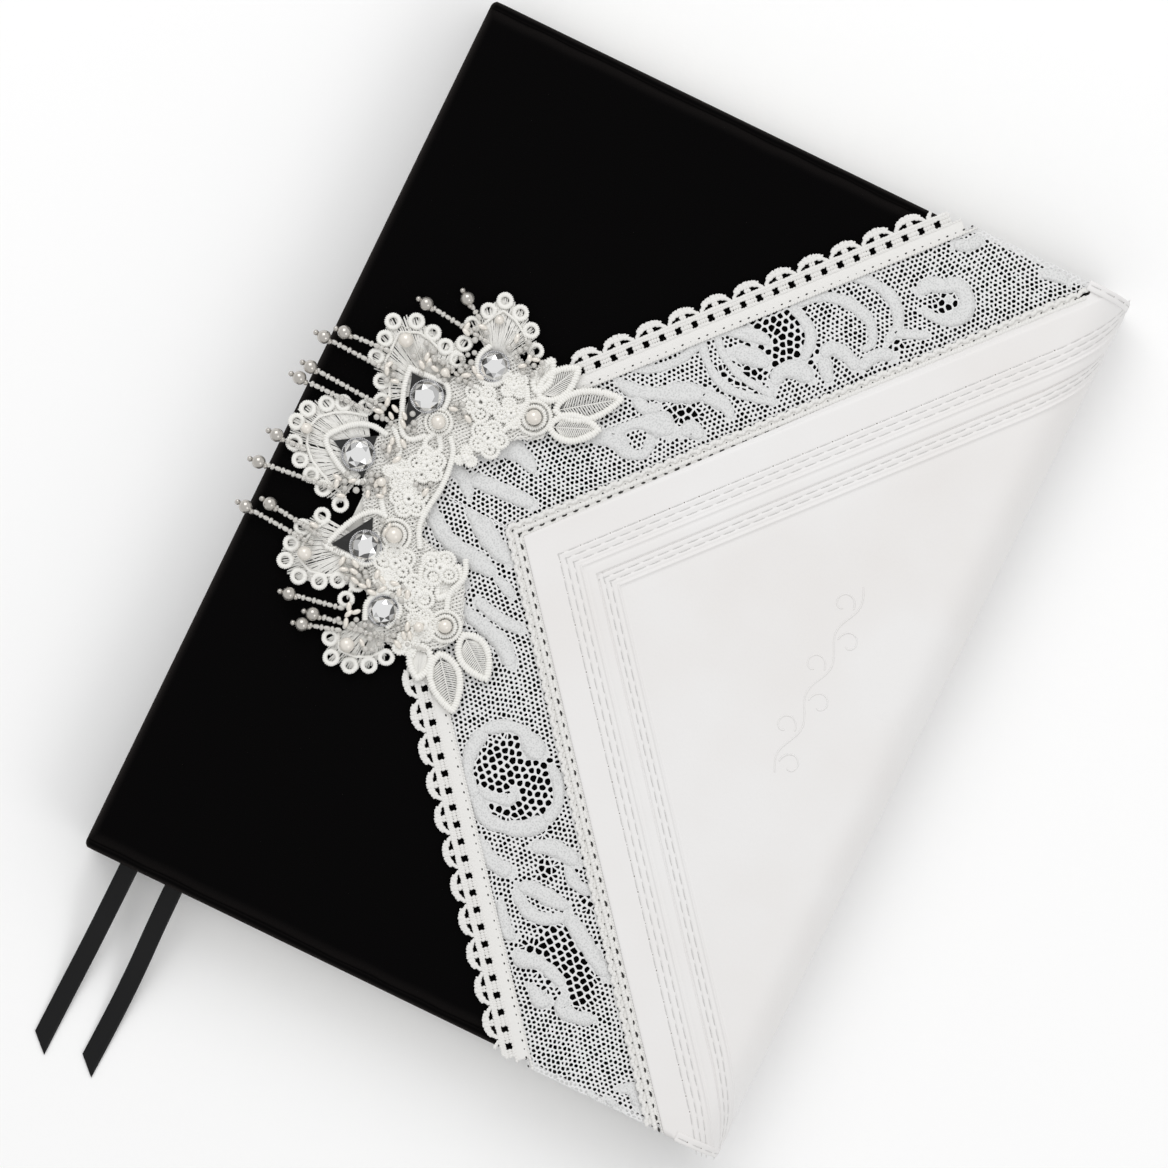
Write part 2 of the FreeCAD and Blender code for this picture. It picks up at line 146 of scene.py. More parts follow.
def bumpy_finish(name, colour, roughness, kind, scale, distance, detail=None, **sockets):
    """A finish with one fine relief of the given texture kind, scale and height."""
    material = new_finish(name, colour, roughness, **sockets)
    settings = {} if detail is None else {"Detail": detail}
    raise_by(material, pattern(material, f"ShaderNodeTex{kind}", scale, **settings), distance)
    return material


table_finish = bumpy_finish("white_table", (0.97, 0.97, 0.97), 0.9, "Noise", 900, 0.00002)


def new_piece(name, points, faces, finish, smooth=True, edges=()):
    """A mesh object at the origin from points in metres."""
    mesh = bpy.data.meshes.new(name)
    mesh.from_pydata([tuple(p) for p in points], list(edges), faces)
    mesh.materials.append(finish)
    mesh.polygons.foreach_set("use_smooth", [smooth] * len(mesh.polygons))
    mesh.validate()
    piece = bpy.data.objects.new(name, mesh)
    bpy.context.collection.objects.link(piece)
    return piece


def faces_between(rows, count, first=0, closed=True):
    """Four-sided faces between rows of points; closed rows are rings."""
    return [(first + a * count + b, first + a * count + (b + 1) % count,
             first + (a + 1) * count + (b + 1) % count, first + (a + 1) * count + b)
            for a in range(rows - 1) for b in range(count if closed else count - 1)]


table = new_piece("table", [(-3, -3, 0), (3, -3, 0), (3, 3, 0), (-3, 3, 0)], [(0, 1, 2, 3)],
                  table_finish)
table.location.z = -0.0001

# Two marker ribbons of black satin, glued in at the head and laid between the sections. Their
# loose tails leave the pages at the tail of the book and lie on the table, cut aslant.
satin = new_finish("black_satin", (0.004, 0.004, 0.0045), 0.3, Anisotropic=0.6,
                   Specular_IOR_Level=0.22)
raise_by(satin, pattern(satin, "ShaderNodeTexNoise", 700, stretch=(6, 1, 6)), 0.00003)
raise_by(satin, pattern(satin, "ShaderNodeTexWave", 1500, turn=math.pi / 2), 0.00001)
ribbon_width = 4.5 * mm
ribbon_thickness = 0.3 * mm
ribbon_routes = {
    "left": [(-70.7, -105, 11.15), (-70.8, -117, 11.0), (-71.3, -131, 4.0),
             (-71.9, -145, 0.25), (-72.2, -158.9, 0.25)],
    "right": [(-59.2, -105, 11.15), (-59.2, -117, 11.0), (-59.0, -131, 4.0),
              (-59.3, -145, 0.25), (-59.9, -158.9, 0.25)],
}


def line_of(name, route):
    """The smooth line of a cord's route, as the points of its own spline."""
    data = bpy.data.curves.new(name, "CURVE")
    data.dimensions = "3D"
    spline = data.splines.new("NURBS")
    spline.points.add(len(route) - 1)
    for point, place in zip(spline.points, route):
        point.co = (*[value * mm for value in place], 1)
    spline.order_u = 3
    spline.use_endpoint_u = True
    spline.resolution_u = 10
    holder = bpy.data.objects.new(name, data)
    bpy.context.collection.objects.link(holder)
    bpy.context.view_layer.update()
    mesh = bpy.data.meshes.new_from_object(
        holder.evaluated_get(bpy.context.evaluated_depsgraph_get()))
    points = [v.co.copy() for v in mesh.vertices]
    bpy.data.objects.remove(holder)
    bpy.data.meshes.remove(mesh)
    return points


for side, route in ribbon_routes.items():
    line = line_of(f"ribbon_{side}_line", route)
    points = []
    across = 8
    for number, place in enumerate(line):
        ahead = line[min(number + 1, len(line) - 1)] - line[max(number - 1, 0)]
        ahead.normalize()
        sideways = Vector((1, 0, 0))
        up = sideways.cross(ahead).normalized()
        up = up if up.z > 0 else -up
        left_over = max(0.0, place.y - line[-1].y)
        ring = []
        for layer in (1, -1):
            steps = range(across + 1) if layer == 1 else range(across, -1, -1)
            for step in steps:
                share = step / across - 0.5
                edge = 1 - 0.45 * abs(2 * share) ** 8
                point = place + sideways * share * ribbon_width
                point += up * layer * ribbon_thickness / 2 * edge
                slant = (0.5 - share) * 4.2 * mm
                if left_over < slant:
                    point -= ahead * (slant - left_over)
                ring.append(point)
        points.append(ring)
    count = len(points[0])
    faces = faces_between(len(points), count)
    faces.append(tuple(range(count - 1, -1, -1)))
    faces.append(tuple(range((len(points) - 1) * count, len(points) * count)))
    ribbon = new_piece(f"ribbon_{side}", [p for ring in points for p in ring], faces, satin)
    middle = [p for p in line if p.y - line[-1].y > 2.2 * mm]
    middle.append(line[-1] + (middle[-1] - line[-1]).normalized() * 2.2 * mm)
    length = sum((b - a).length for a, b in zip(middle, middle[1:]))
    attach(ribbon, "back_cover")
    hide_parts(f"ribbon_{side}_tail")
    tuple(line[0])

# The text block: sections of folded white paper, with a flyleaf outside each half, the mull glued
# on their back, and a rolled silk band at head and tail. The cut edges show the single leaves.
paper = new_finish("page_paper", (0.86, 0.845, 0.80), 0.85)
# The leaf lines darken the colour where they sink the surface. This is painted shade in the gaps between
# the leaves, on top of their real relief.
leaf_lines = pattern(paper, "ShaderNodeTexNoise", 90, stretch=(0.02, 0.02, 90), Detail=3)
shade_between(paper, leaf_lines, 0.35, 0.6, (0.72, 0.70, 0.66), (0.87, 0.855, 0.81))
raise_by(paper, leaf_lines, 0.00008)
mull = bumpy_finish("mull_cloth", (0.74, 0.71, 0.64), 0.9, "Voronoi", 900, 0.0001)
band_silk = new_finish("band_silk", (0.84, 0.84, 0.82), 0.4)
band_stripes = pattern(band_silk, "ShaderNodeTexWave", 260, turn=0.0)
shade_between(band_silk, band_stripes, 0.45, 0.55, (0.03, 0.03, 0.03), (0.84, 0.84, 0.82))
board_finish = bumpy_finish("greyboard", (0.36, 0.34, 0.31), 0.9, "Noise", 1200, 0.0001)
lining_paper = bumpy_finish("lining_paper", (0.85, 0.84, 0.81), 0.7, "Noise", 1600, 0.00002)
wadding = bumpy_finish("wadding", (0.8, 0.8, 0.78), 1.0, "Noise", 500, 0.0004, detail=6)
nickel = bumpy_finish("nickel", (0.7, 0.69, 0.66), 0.25, "Noise", 2000, 0.00001, Metallic=1.0)
lining_cloth = bumpy_finish("lining_cloth", (0.8, 0.8, 0.8), 0.5, "Wave", 1200, 0.00003)
felt = bumpy_finish("white_felt", (0.72, 0.71, 0.68), 1.0, "Noise", 1500, 0.0002, detail=5)


def give(finish, *nodes):
    """Puts a material on pieces that keep the shape they were modelled with."""
    for node in nodes:
        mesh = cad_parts[node].data
        mesh.materials.clear()
        mesh.materials.append(finish)


give(paper, "back_flyleaf", "front_flyleaf",
     *[f"{half}_signature_{n}" for half in ("back", "front") for n in (1, 2, 3, 4)])
give(mull, "spine_lining")
give(band_silk, "head_band", "tail_band")
give(board_finish, "front_board", "back_board", "spine_board")
give(lining_paper, "front_pastedown", "back_pastedown")
give(wadding, "front_wadding", "back_wadding")
give(nickel, "cover_magnet", "flap_magnet")
give(lining_cloth, "gusset_lining", "flap_lining")
give(satin, "ribbon_left_inner", "ribbon_right_inner")
give(felt, "applique_patch")

# The case: black cotton velvet drawn over wadding on both boards and glued round them. At head
# and tail the pad ends at a sewn line and leaves a flat rim. Each half of the spine's velvet runs
# on from its cover.
velvet = new_finish("black_velvet", (0.0016, 0.0014, 0.0015), 0.95, Specular_IOR_Level=0.05,
                    Sheen_Weight=0.06, Sheen_Roughness=0.22)
velvet.node_tree.nodes["Principled BSDF"].inputs["Sheen Tint"].default_value = (0.62, 0.55, 0.52, 1)
raise_by(velvet, pattern(velvet, "ShaderNodeTexNoise", 3200, Detail=4), 0.00025)
# Painted sheen: the base colour runs from near black on top to a faint warm grey where the velvet's normal
# tips away from straight up. This is a painted rim highlight for the pile's glow at grazing light.
painted_rim_sheen_tilt = velvet.node_tree.nodes.new("ShaderNodeSeparateXYZ")
velvet_normal = velvet.node_tree.nodes.new("ShaderNodeTexCoord").outputs["Normal"]
velvet.node_tree.links.new(velvet_normal, painted_rim_sheen_tilt.inputs[0])
shade_between(velvet, painted_rim_sheen_tilt.outputs["Z"], 0.55, 0.985, (0.013, 0.011, 0.0105), (0.0014, 0.0012, 0.0013))
raise_by(velvet, pattern(velvet, "ShaderNodeTexNoise", 120, Detail=3), 0.0004, 0.5)
front_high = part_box("front_velvet")[1]
spine_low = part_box("spine_velvet")[0]
case_back = spine_low.x
case_front = front_high.x
case_half = front_high.y
pad_top = front_high.z
rim_top = pad_top - 1.4 * mm
board_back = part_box("front_board")[0].x
board_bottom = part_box("front_board")[0].z
joint_inside = rim_top - 0.8 * mm
spine_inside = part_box("spine_board")[1].x + 0.1 * mm
middle_z = pad_top / 2
side_rounding = 2.6 * mm
groove_depth = 0.35 * mm
under_board = board_bottom - 0.15 * mm


def velvet_height(x, y):
    """The top of the front velvet: a soft pad, a sewn groove and a flat rim."""
    from_end = case_half - abs(y)
    from_side = min(case_front - x, x - case_back)
    wander = 0.12 * mm * math.sin(310 * x + 2 * math.sin(90 * x))
    sewn = 1.9 * mm + wander
    if from_end > sewn:
        rise = min(1.0, (from_end - sewn) / (3.4 * mm))
        top = rim_top - groove_depth
        top += (pad_top - rim_top + groove_depth) * math.sin(rise * math.pi / 2)
        top += 0.05 * mm * math.sin(900 * x) * (1 - rise)
    else:
        share = from_end / sewn
        top = rim_top - groove_depth + 0.5 * mm * math.sin(share * math.pi) ** 0.6
        top -= 0.8 * mm * (1 - share) ** 3
    if from_side < side_rounding:
        share = max(0.0, from_side / side_rounding)
        top -= (1 - math.sqrt(1 - (1 - share) ** 2)) * 2.2 * mm
    return top


def velvet_section(y):
    """One loop round the case's front half, from the middle of the spine over to the fore-edge."""
    from_end = case_half - abs(y)
    corner = 1.6 * mm
    pull = 0.0
    if from_end < corner:
        pull = corner - math.sqrt(max(0.0, corner ** 2 - (corner - from_end) ** 2))
    back = case_back + pull * 0.8
    front = case_front - pull
    loop = []
    for step in range(10):
        loop.append((back, middle_z + (joint_inside - 0.6 * mm - middle_z) * step / 9))
    for step in range(1, 13):
        angle = math.pi - step / 12 * math.pi / 2
        radius = velvet_height(0, y) - joint_inside + 0.6 * mm
        loop.append((back + radius * 0.9 * (1 + math.cos(angle)),
                     joint_inside - 0.6 * mm + radius * math.sin(angle)))
    start = loop[-1][0]
    for step in range(1, 70):
        x = start + (front - side_rounding - start) * step / 69
        loop.append((x, velvet_height(x, y)))
    for step in range(1, 9):
        x = front - side_rounding * (1 - math.sin(step / 8 * math.pi / 2))
        loop.append((x, velvet_height(x - (front - case_front), y)))
    for step in range(1, 5):
        loop.append((front, loop[-1][1] + (under_board - loop[-1][1]) * step / 4))
    for step in range(1, 30):
        loop.append((front + (board_back - front) * step / 29, under_board))
    loop.append((board_back, joint_inside - 0.4 * mm))
    loop.append((board_back - 0.8 * mm, joint_inside))
    for step in range(1, 6):
        loop.append((board_back - 0.8 * mm + (spine_inside - board_back + 0.8 * mm) * step / 5,
                     joint_inside))
    for step in range(1, 9):
        loop.append((spine_inside, joint_inside + (middle_z - joint_inside) * step / 8))
    return [Vector((x, y, z)) for x, z in loop]


edge_steps = [0, 0.1, 0.25, 0.5, 0.8, 1.15, 1.5, 1.75, 1.95, 2.2, 2.6, 3.1, 3.7, 4.4, 5.4, 7, 9]
stations = [-case_half + step * mm for step in edge_steps]
inner = case_half - 9 * mm
stations += [-inner + 2 * inner * step / 60 for step in range(1, 60)]
stations += [case_half - step * mm for step in reversed(edge_steps)]
loops = [velvet_section(y) for y in stations]
count = len(loops[0])
velvet_faces = faces_between(len(loops), count)
velvet_faces.append(tuple(range(count)))
velvet_faces.append(tuple(range(len(loops) * count - 1, (len(loops) - 1) * count - 1, -1)))
velvet_points = [p for loop in loops for p in loop]


def face_outwards(piece):
    """Merges doubles, drops slivers and turns all faces out."""
    shell = bmesh.new()
    shell.from_mesh(piece.data)
    bmesh.ops.remove_doubles(shell, verts=shell.verts, dist=1e-7)
    bmesh.ops.dissolve_degenerate(shell, edges=shell.edges, dist=1e-8)
    bmesh.ops.recalc_face_normals(shell, faces=shell.faces)
    shell.to_mesh(piece.data)
    shell.free()


for cover, upside_down in (("front", False), ("back", True)):
    points = [Vector((p.x, p.y, 2 * middle_z - p.z)) if upside_down else p for p in velvet_points]
    velvet_piece = new_piece(f"{cover}_velvet_cover", points, velvet_faces, velvet)
    face_outwards(velvet_piece)
    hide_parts(f"{cover}_velvet", f"{cover}_wadding")
    near, far = Vector((-81.6, 0, 19.6)) * mm, Vector((-77.5, 0, 22.2)) * mm
    if upside_down:
        near.z, far.z = 2 * middle_z - near.z, 2 * middle_z - far.z
    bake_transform(velvet_piece)
    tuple(near)
    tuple(far)
    if not upside_down:
        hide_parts("spine_velvet")

# The white leather: one skin that lies on the front cover as a long triangle and wraps round the
# fore-edge. Pin tucks in two bands follow its slanting sides. It is laid out flat, in millimetres,
# and then bent round the fore-edge.
leather = new_finish("white_leather", (0.80, 0.785, 0.775), 0.5, Specular_IOR_Level=0.35)
raise_by(leather, pattern(leather, "ShaderNodeTexVoronoi", 1700), 0.00003, 0.6)
raise_by(leather, pattern(leather, "ShaderNodeTexNoise", 420, Detail=5), 0.00005, 0.6)
raise_by(leather, pattern(leather, "ShaderNodeTexNoise", 30, Detail=2), 0.0005, 0.35)
shade_between(leather, pattern(leather, "ShaderNodeTexNoise", 26, Detail=3), 0.35, 0.65,
              (0.79, 0.77, 0.757), (0.82, 0.81, 0.805))
point_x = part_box("flap_leather")[0].x / mm
fold_x = 72.0
hem_half = 110.5
half_angle = math.radians(49.55)
off_square = math.radians(-1.35)
leather_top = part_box("gusset_hems")[1].z / mm
bend_deep, bend_high = 9.9, 11.8
bend_middle = leather_top - bend_high
bend_end = math.radians(-72)
bend_table = [(0.0, math.pi / 2)]
for step in range(1, 401):
    angle = math.pi / 2 + (bend_end - math.pi / 2) * step / 400
    before = bend_table[-1][1]
    bend_table.append((bend_table[-1][0] + math.hypot(
        bend_deep * (math.cos(angle) - math.cos(before)),
        bend_high * (math.sin(angle) - math.sin(before))), angle))
wrap_length = bend_table[-1][0]


def wrapped(x, y, lift):
    """A place on the flat skin, bent round the fore-edge, in metres."""
    if x <= fold_x:
        return Vector((x, y, leather_top + lift)) * mm
    share = min(1.0, (x - fold_x) / wrap_length) * 400
    low = min(399, int(share))
    angle = bend_table[low][1] + (bend_table[low + 1][1] - bend_table[low][1]) * (share - low)
    out = Vector((math.cos(angle) / bend_deep, 0, math.sin(angle) / bend_high)).normalized()
    place = Vector((fold_x + bend_deep * math.cos(angle), y,
                    bend_middle + bend_high * math.sin(angle)))
    return (place + out * lift) * mm


def on_edge(side, along, outward):
    """Flat place by its run along a slanting side from the point, and its distance out of it."""
    angle = off_square + side * half_angle
    return (point_x + along * math.cos(angle) - side * outward * math.sin(angle),
            along * math.sin(angle) + side * outward * math.cos(angle))


stitched_tucks = (7.0, 8.5, 10.0, 16.0, 17.3)


def tuck_lift(inward, along):
    """The relief of the two bands of pin tucks, by the distance in from the slanting side."""
    lift = 0.0
    for place in stitched_tucks:
        lift -= 0.16 * math.exp(-((inward - place) / 0.2) ** 2)
        lift += 0.10 * math.exp(-((inward - place - 0.55) / 0.3) ** 2)
    for place in (11.5, 18.9):
        lift += 0.42 * math.exp(-((inward - place) / 0.3) ** 2)
        lift -= 0.10 * math.exp(-((inward - place - 0.8) / 0.35) ** 2)
    if 10 < inward < 20:
        lift += 0.26 / (1 + math.exp(-(inward - 11.9) * 3)) / (1 + math.exp((inward - 14.5) * 9))
    lift -= 0.42 * math.exp(-((inward - 14.72) / 0.22) ** 2)
    if inward < 0.5:
        lift -= 0.3 * (1 - max(0.0, inward) / 0.5) ** 2
    lift += 0.05 * math.sin(along * 0.21 + inward * 0.4) * math.sin(along * 0.07)
    return lift * 0.85


def skin_row(side, inward, flat_steps, bend_steps):
    """Points along one line at a set distance in from the slanting side, out to the hem."""
    angle = off_square + side * half_angle
    reach = inward / math.sin(half_angle)
    x0 = point_x + reach * math.cos(off_square)
    y0 = reach * math.sin(off_square)
    start = 0.0 if inward >= 0 else (fold_x - x0) / math.cos(angle)
    end = min((fold_x + wrap_length - x0) / math.cos(angle),
              (side * (hem_half - 0.2) - y0) / math.sin(angle))
    end = max(start, end)
    fold = min(end, max(start, (fold_x - x0) / math.cos(angle)))
    runs = [start + (fold - start) * step / flat_steps for step in range(flat_steps + 1)]
    runs += [fold + (end - fold) * step / bend_steps for step in range(1, bend_steps + 1)]
    return [(x0 + run * math.cos(angle), y0 + run * math.sin(angle), run) for run in runs]


skin_points = []
skin_faces = []
for side in (1, -1):
    angle = off_square + side * half_angle
    corner = (fold_x - point_x, side * hem_half)
    lowest = side * (corner[0] * math.sin(angle) - corner[1] * math.cos(angle))
    insets = [lowest, lowest * 0.5] if lowest < 0 else []
    insets += [0, 0.15, 0.35, 0.6, 1, 1.8, 3, 4.2, 5.4, 6.2]
    insets += [6.3 + 0.13 * step for step in range(48)]
    insets += [12.7, 13.1, 13.5, 13.9]
    insets += [14.1 + 0.12 * step for step in range(48)]
    inset = 20.4
    while inset < 94:
        insets.append(inset)
        inset += 2.3
    first = len(skin_points)
    flat_columns, bend_columns = 84, 34
    for inset in insets:
        for x, y, run in skin_row(side, inset, flat_columns, bend_columns):
            skin_points.append(wrapped(x, y, tuck_lift(inset, run)))
    skin_faces += faces_between(len(insets), flat_columns + bend_columns + 1, first, closed=False)
skin = new_piece("leather_skin", skin_points, skin_faces, leather)
face_outwards(skin)
up_side = sum(p.area * p.normal.z for p in skin.data.polygons)
if up_side < 0:
    skin.data.flip_normals()


def apply_modifiers(piece):
    """Turns a piece and its live modifiers into a plain mesh."""
    graph = bpy.context.evaluated_depsgraph_get()
    mesh = bpy.data.meshes.new_from_object(piece.evaluated_get(graph))
    piece.modifiers.clear()
    old = piece.data
    piece.data = mesh
    bpy.data.meshes.remove(old)
    return piece


wall = skin.modifiers.new("thickness", "SOLIDIFY")
wall.thickness = 0.8 * mm
wall.offset = -1
apply_modifiers(skin)
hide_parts("flap_leather", "fore_edge_gusset")
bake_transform(skin)

# Bound hems close the wrapped leather at head and tail: a narrow folded strip with one line of
# stitches, from the fold round to the edge under the back cover.
hem_points = []
hem_faces = []
hem_profile = [(-2.3, -0.7), (-2.3, 0.16), (-2.1, 0.32), (-1.7, 0.38), (-1.2, 0.34), (-0.9, 0.26),
               (-0.6, 0.34), (-0.2, 0.32), (0.05, 0.16), (0.12, -0.2), (0.0, -0.8), (-1.2, -0.95)]
for side in (1, -1):
    first = len(hem_points)
    steps = 90
    for step in range(steps + 1):
        x = fold_x - 1.2 + (wrap_length + 1.2) * step / steps
        for across, lift in hem_profile:
            swell = 1.0 if 0 < step < steps else 0.7
            hem_points.append(wrapped(x, side * (hem_half + across), lift * swell))
    count = len(hem_profile)
    hem_faces += faces_between(steps + 1, count, first)
    hem_faces.append(tuple(range(first, first + count)))
    hem_faces.append(tuple(range(first + steps * count, first + (steps + 1) * count)))
hems = new_piece("leather_hems", hem_points, hem_faces, leather)
face_outwards(hems)
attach(hems, "front_cover")
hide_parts("gusset_hems")


# Everything sewn or strung in a row is one small shape laid along a line: stitches, needle holes,
# crochet turns, beads and wound cord. The tree spaces the shape evenly and turns it to the line.
def row_tree():
    """The node tree that lays a shape along a line, with its sizes and turns a little uneven."""
    tree = bpy.data.node_groups.new("laid_along_a_line", "GeometryNodeTree")
    for name, kind in (("Line", "Geometry"), ("Shape", "Object"), ("Spacing", "Float"),
                       ("Least size", "Float"), ("Slant", "Float"), ("Unevenness", "Float"),
                       ("Seed", "Int"), ("Finish", "Material")):
        tree.interface.new_socket(name, in_out="INPUT", socket_type=f"NodeSocket{kind}")
    tree.interface.new_socket("Row", in_out="OUTPUT", socket_type="NodeSocketGeometry")
    nodes = tree.nodes
    given = nodes.new("NodeGroupInput").outputs
    curve = nodes.new("GeometryNodeMeshToCurve")
    evenly = nodes.new("GeometryNodeResampleCurve")
    evenly.mode = "LENGTH"
    shape = nodes.new("GeometryNodeObjectInfo")
    tangent = nodes.new("GeometryNodeInputTangent")
    along = nodes.new("FunctionNodeAlignRotationToVector")
    along.axis = "X"
    upright = nodes.new("FunctionNodeAlignRotationToVector")
    upright.axis = "Z"
    upright.pivot_axis = "X"
    upright.inputs["Vector"].default_value = (0, 0, 1)
    slant = nodes.new("FunctionNodeRotateRotation")
    slant.rotation_space = "LOCAL"
    turn = nodes.new("ShaderNodeCombineXYZ")
    uneven = nodes.new("FunctionNodeRandomValue")
    uneven.data_type = "FLOAT"
    least = nodes.new("ShaderNodeMath")
    least.operation = "MULTIPLY"
    least.inputs[1].default_value = -1
    total = nodes.new("ShaderNodeMath")
    size = nodes.new("FunctionNodeRandomValue")
    size.data_type = "FLOAT"
    size.inputs["Max"].default_value = 1
    place = nodes.new("GeometryNodeInstanceOnPoints")
    solid = nodes.new("GeometryNodeRealizeInstances")
    painted = nodes.new("GeometryNodeSetMaterial")
    result = nodes.new("NodeGroupOutput")
    for source, target in (
            (given["Line"], curve.inputs["Mesh"]),
            (curve.outputs["Curve"], evenly.inputs["Curve"]),
            (given["Spacing"], evenly.inputs["Length"]),
            (evenly.outputs["Curve"], place.inputs["Points"]),
            (given["Shape"], shape.inputs["Object"]),
            (shape.outputs["Geometry"], place.inputs["Instance"]),
            (tangent.outputs["Tangent"], along.inputs["Vector"]),
            (along.outputs["Rotation"], upright.inputs["Rotation"]),
            (upright.outputs["Rotation"], slant.inputs["Rotation"]),
            (given["Unevenness"], least.inputs[0]),
            (least.outputs[0], uneven.inputs["Min"]),
            (given["Unevenness"], uneven.inputs["Max"]),
            (given["Seed"], uneven.inputs["Seed"]),
            (given["Slant"], total.inputs[0]),
            (uneven.outputs["Value"], total.inputs[1]),
            (total.outputs[0], turn.inputs["Z"]),
            (turn.outputs["Vector"], slant.inputs["Rotate By"]),
            (slant.outputs["Rotation"], place.inputs["Rotation"]),
            (given["Least size"], size.inputs["Min"]),
            (given["Seed"], size.inputs["Seed"]),
            (size.outputs["Value"], place.inputs["Scale"]),
            (place.outputs["Instances"], solid.inputs["Geometry"]),
            (solid.outputs["Geometry"], painted.inputs["Geometry"]),
            (given["Finish"], painted.inputs["Material"]),
            (painted.outputs["Geometry"], result.inputs["Row"])):
        tree.links.new(source, target)
    return tree


row_layout = row_tree()


def bead_shape(length, width, height, around=8, rings=5):
    """A small rounded shape along X, in millimetres, as points and faces."""
    points = []
    for ring in range(rings + 1):
        angle = math.pi * (ring + 0.35) / (rings + 0.7)
        for step in range(around):
            turn = 2 * math.pi * step / around
            points.append(Vector((-math.cos(angle) * length / 2,
                                  math.sin(angle) * math.cos(turn) * width / 2,
                                  math.sin(angle) * math.sin(turn) * height / 2)) * mm)
    faces = [(r * around + s, (r + 1) * around + s, (r + 1) * around + (s + 1) % around,
              r * around + (s + 1) % around) for r in range(rings) for s in range(around)]
    faces.append(tuple(range(around)))
    faces.append(tuple(range((rings + 1) * around - 1, rings * around - 1, -1)))
    return points, faces


def in_a_row(name, lines, shape, spacing, finish, least=0.92, slant=0.0, uneven=0.0, seed=1):
    """A piece made of one shape laid along lines of places in millimetres."""
    points = []
    edges = []
    for line in lines:
        first = len(points)
        points += [Vector(place) * mm for place in line]
        edges += [(first + n, first + n + 1) for n in range(len(line) - 1)]
    thread = new_piece(name, points, [], finish, edges=edges)
    unit = new_piece(f"{name}_shape", *shape, finish)
    layout = thread.modifiers.new("row", "NODES")
    layout.node_group = row_layout
    wanted = {"Shape": unit, "Spacing": spacing * mm, "Least size": least, "Slant": slant,
              "Unevenness": uneven, "Seed": seed, "Finish": finish}
    for item in row_layout.interface.items_tree:
        if item.item_type == "SOCKET" and item.name in wanted:
            layout[item.identifier] = wanted[item.name]
    bpy.context.view_layer.update()
    apply_modifiers(thread)
    thread.data.polygons.foreach_set("use_smooth", [True] * len(thread.data.polygons))
    bpy.data.objects.remove(unit)
    return thread


def bend_piece(piece):
    """Takes a piece laid out flat, with its height as the lift, and bends it with the leather."""
    for vertex in piece.data.vertices:
        flat = vertex.co / mm
        vertex.co = wrapped(flat.x, flat.y, flat.z)
    piece.data.update()


# White thread in five rows holds the tucks down, and the shade in each needle hole is painted as a small
# dark dot.
# One more row closes each hem.
leather_thread = bumpy_finish("leather_thread", (0.74, 0.73, 0.72), 0.6, "Wave", 3000, 0.00004)
# Painted shade: a dark brown-grey for the shade inside each needle hole.
needle_hole_shade = bumpy_finish("needle_hole_shade", (0.22, 0.20, 0.18), 0.95, "Noise", 3000, 0.00002)
stitch_spacing = 3.7
tuck_rows = {inset: [[(x, y, tuck_lift(inset, run) + 0.03)
                      for x, y, run in skin_row(side, inset, 60, 16)] for side in (1, -1)]
             for inset in stitched_tucks}
hem_rows = [[(fold_x + 0.8 + (wrap_length - 2) * step / 60, side * (hem_half - 0.9), 0.3)
             for step in range(61)] for side in (1, -1)]
thread_lines = [line for lines in tuck_rows.values() for line in lines] + hem_rows
stitches = in_a_row("leather_stitches", thread_lines, bead_shape(3.0, 0.34, 0.24, 6, 4),
                    stitch_spacing, leather_thread)
bend_piece(stitches)
holes = in_a_row("needle_holes", tuck_rows[stitched_tucks[0]] + hem_rows,
                 bead_shape(0.42, 0.34, 0.2, 6, 4), stitch_spacing, needle_hole_shade, least=0.5)
for vertex in holes.data.vertices:
    vertex.co.x += 1.2 * mm
    vertex.co.y += math.copysign(1.4 * mm, vertex.co.y) if vertex.co.x < fold_x * mm else 0.0
bend_piece(holes)
for piece in (stitches, holes):
    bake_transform(piece)

# A scroll of leaves is pressed into the leather down the middle, near the fold. It reads only by
# its soft edges.
scroll_x = 54.6
scroll_lines = [[(scroll_x + 1.3 * math.sin(step / 96 * 6 * math.pi), 23.5 - 47 * (step / 96), 0.0)
                 for step in range(97)]]
for number in range(6):
    y = 19.5 - 7.8 * number
    way = 1 if number % 2 else -1
    curl = []
    for step in range(25):
        turn = step / 24 * 1.55 * math.pi
        radius = 3.0 * (1 - 0.62 * step / 24)
        curl.append((scroll_x + way * (2.6 - radius * math.cos(turn) * 0.9),
                     y - 1.2 + radius * math.sin(turn), 0.0))
    scroll_lines.append(curl)
scroll = in_a_row("pressed_scroll", scroll_lines, bead_shape(0.75, 0.42, 0.3, 8, 4), 0.16, leather,
                  least=0.8)
bend_piece(scroll)
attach(scroll, "flap")

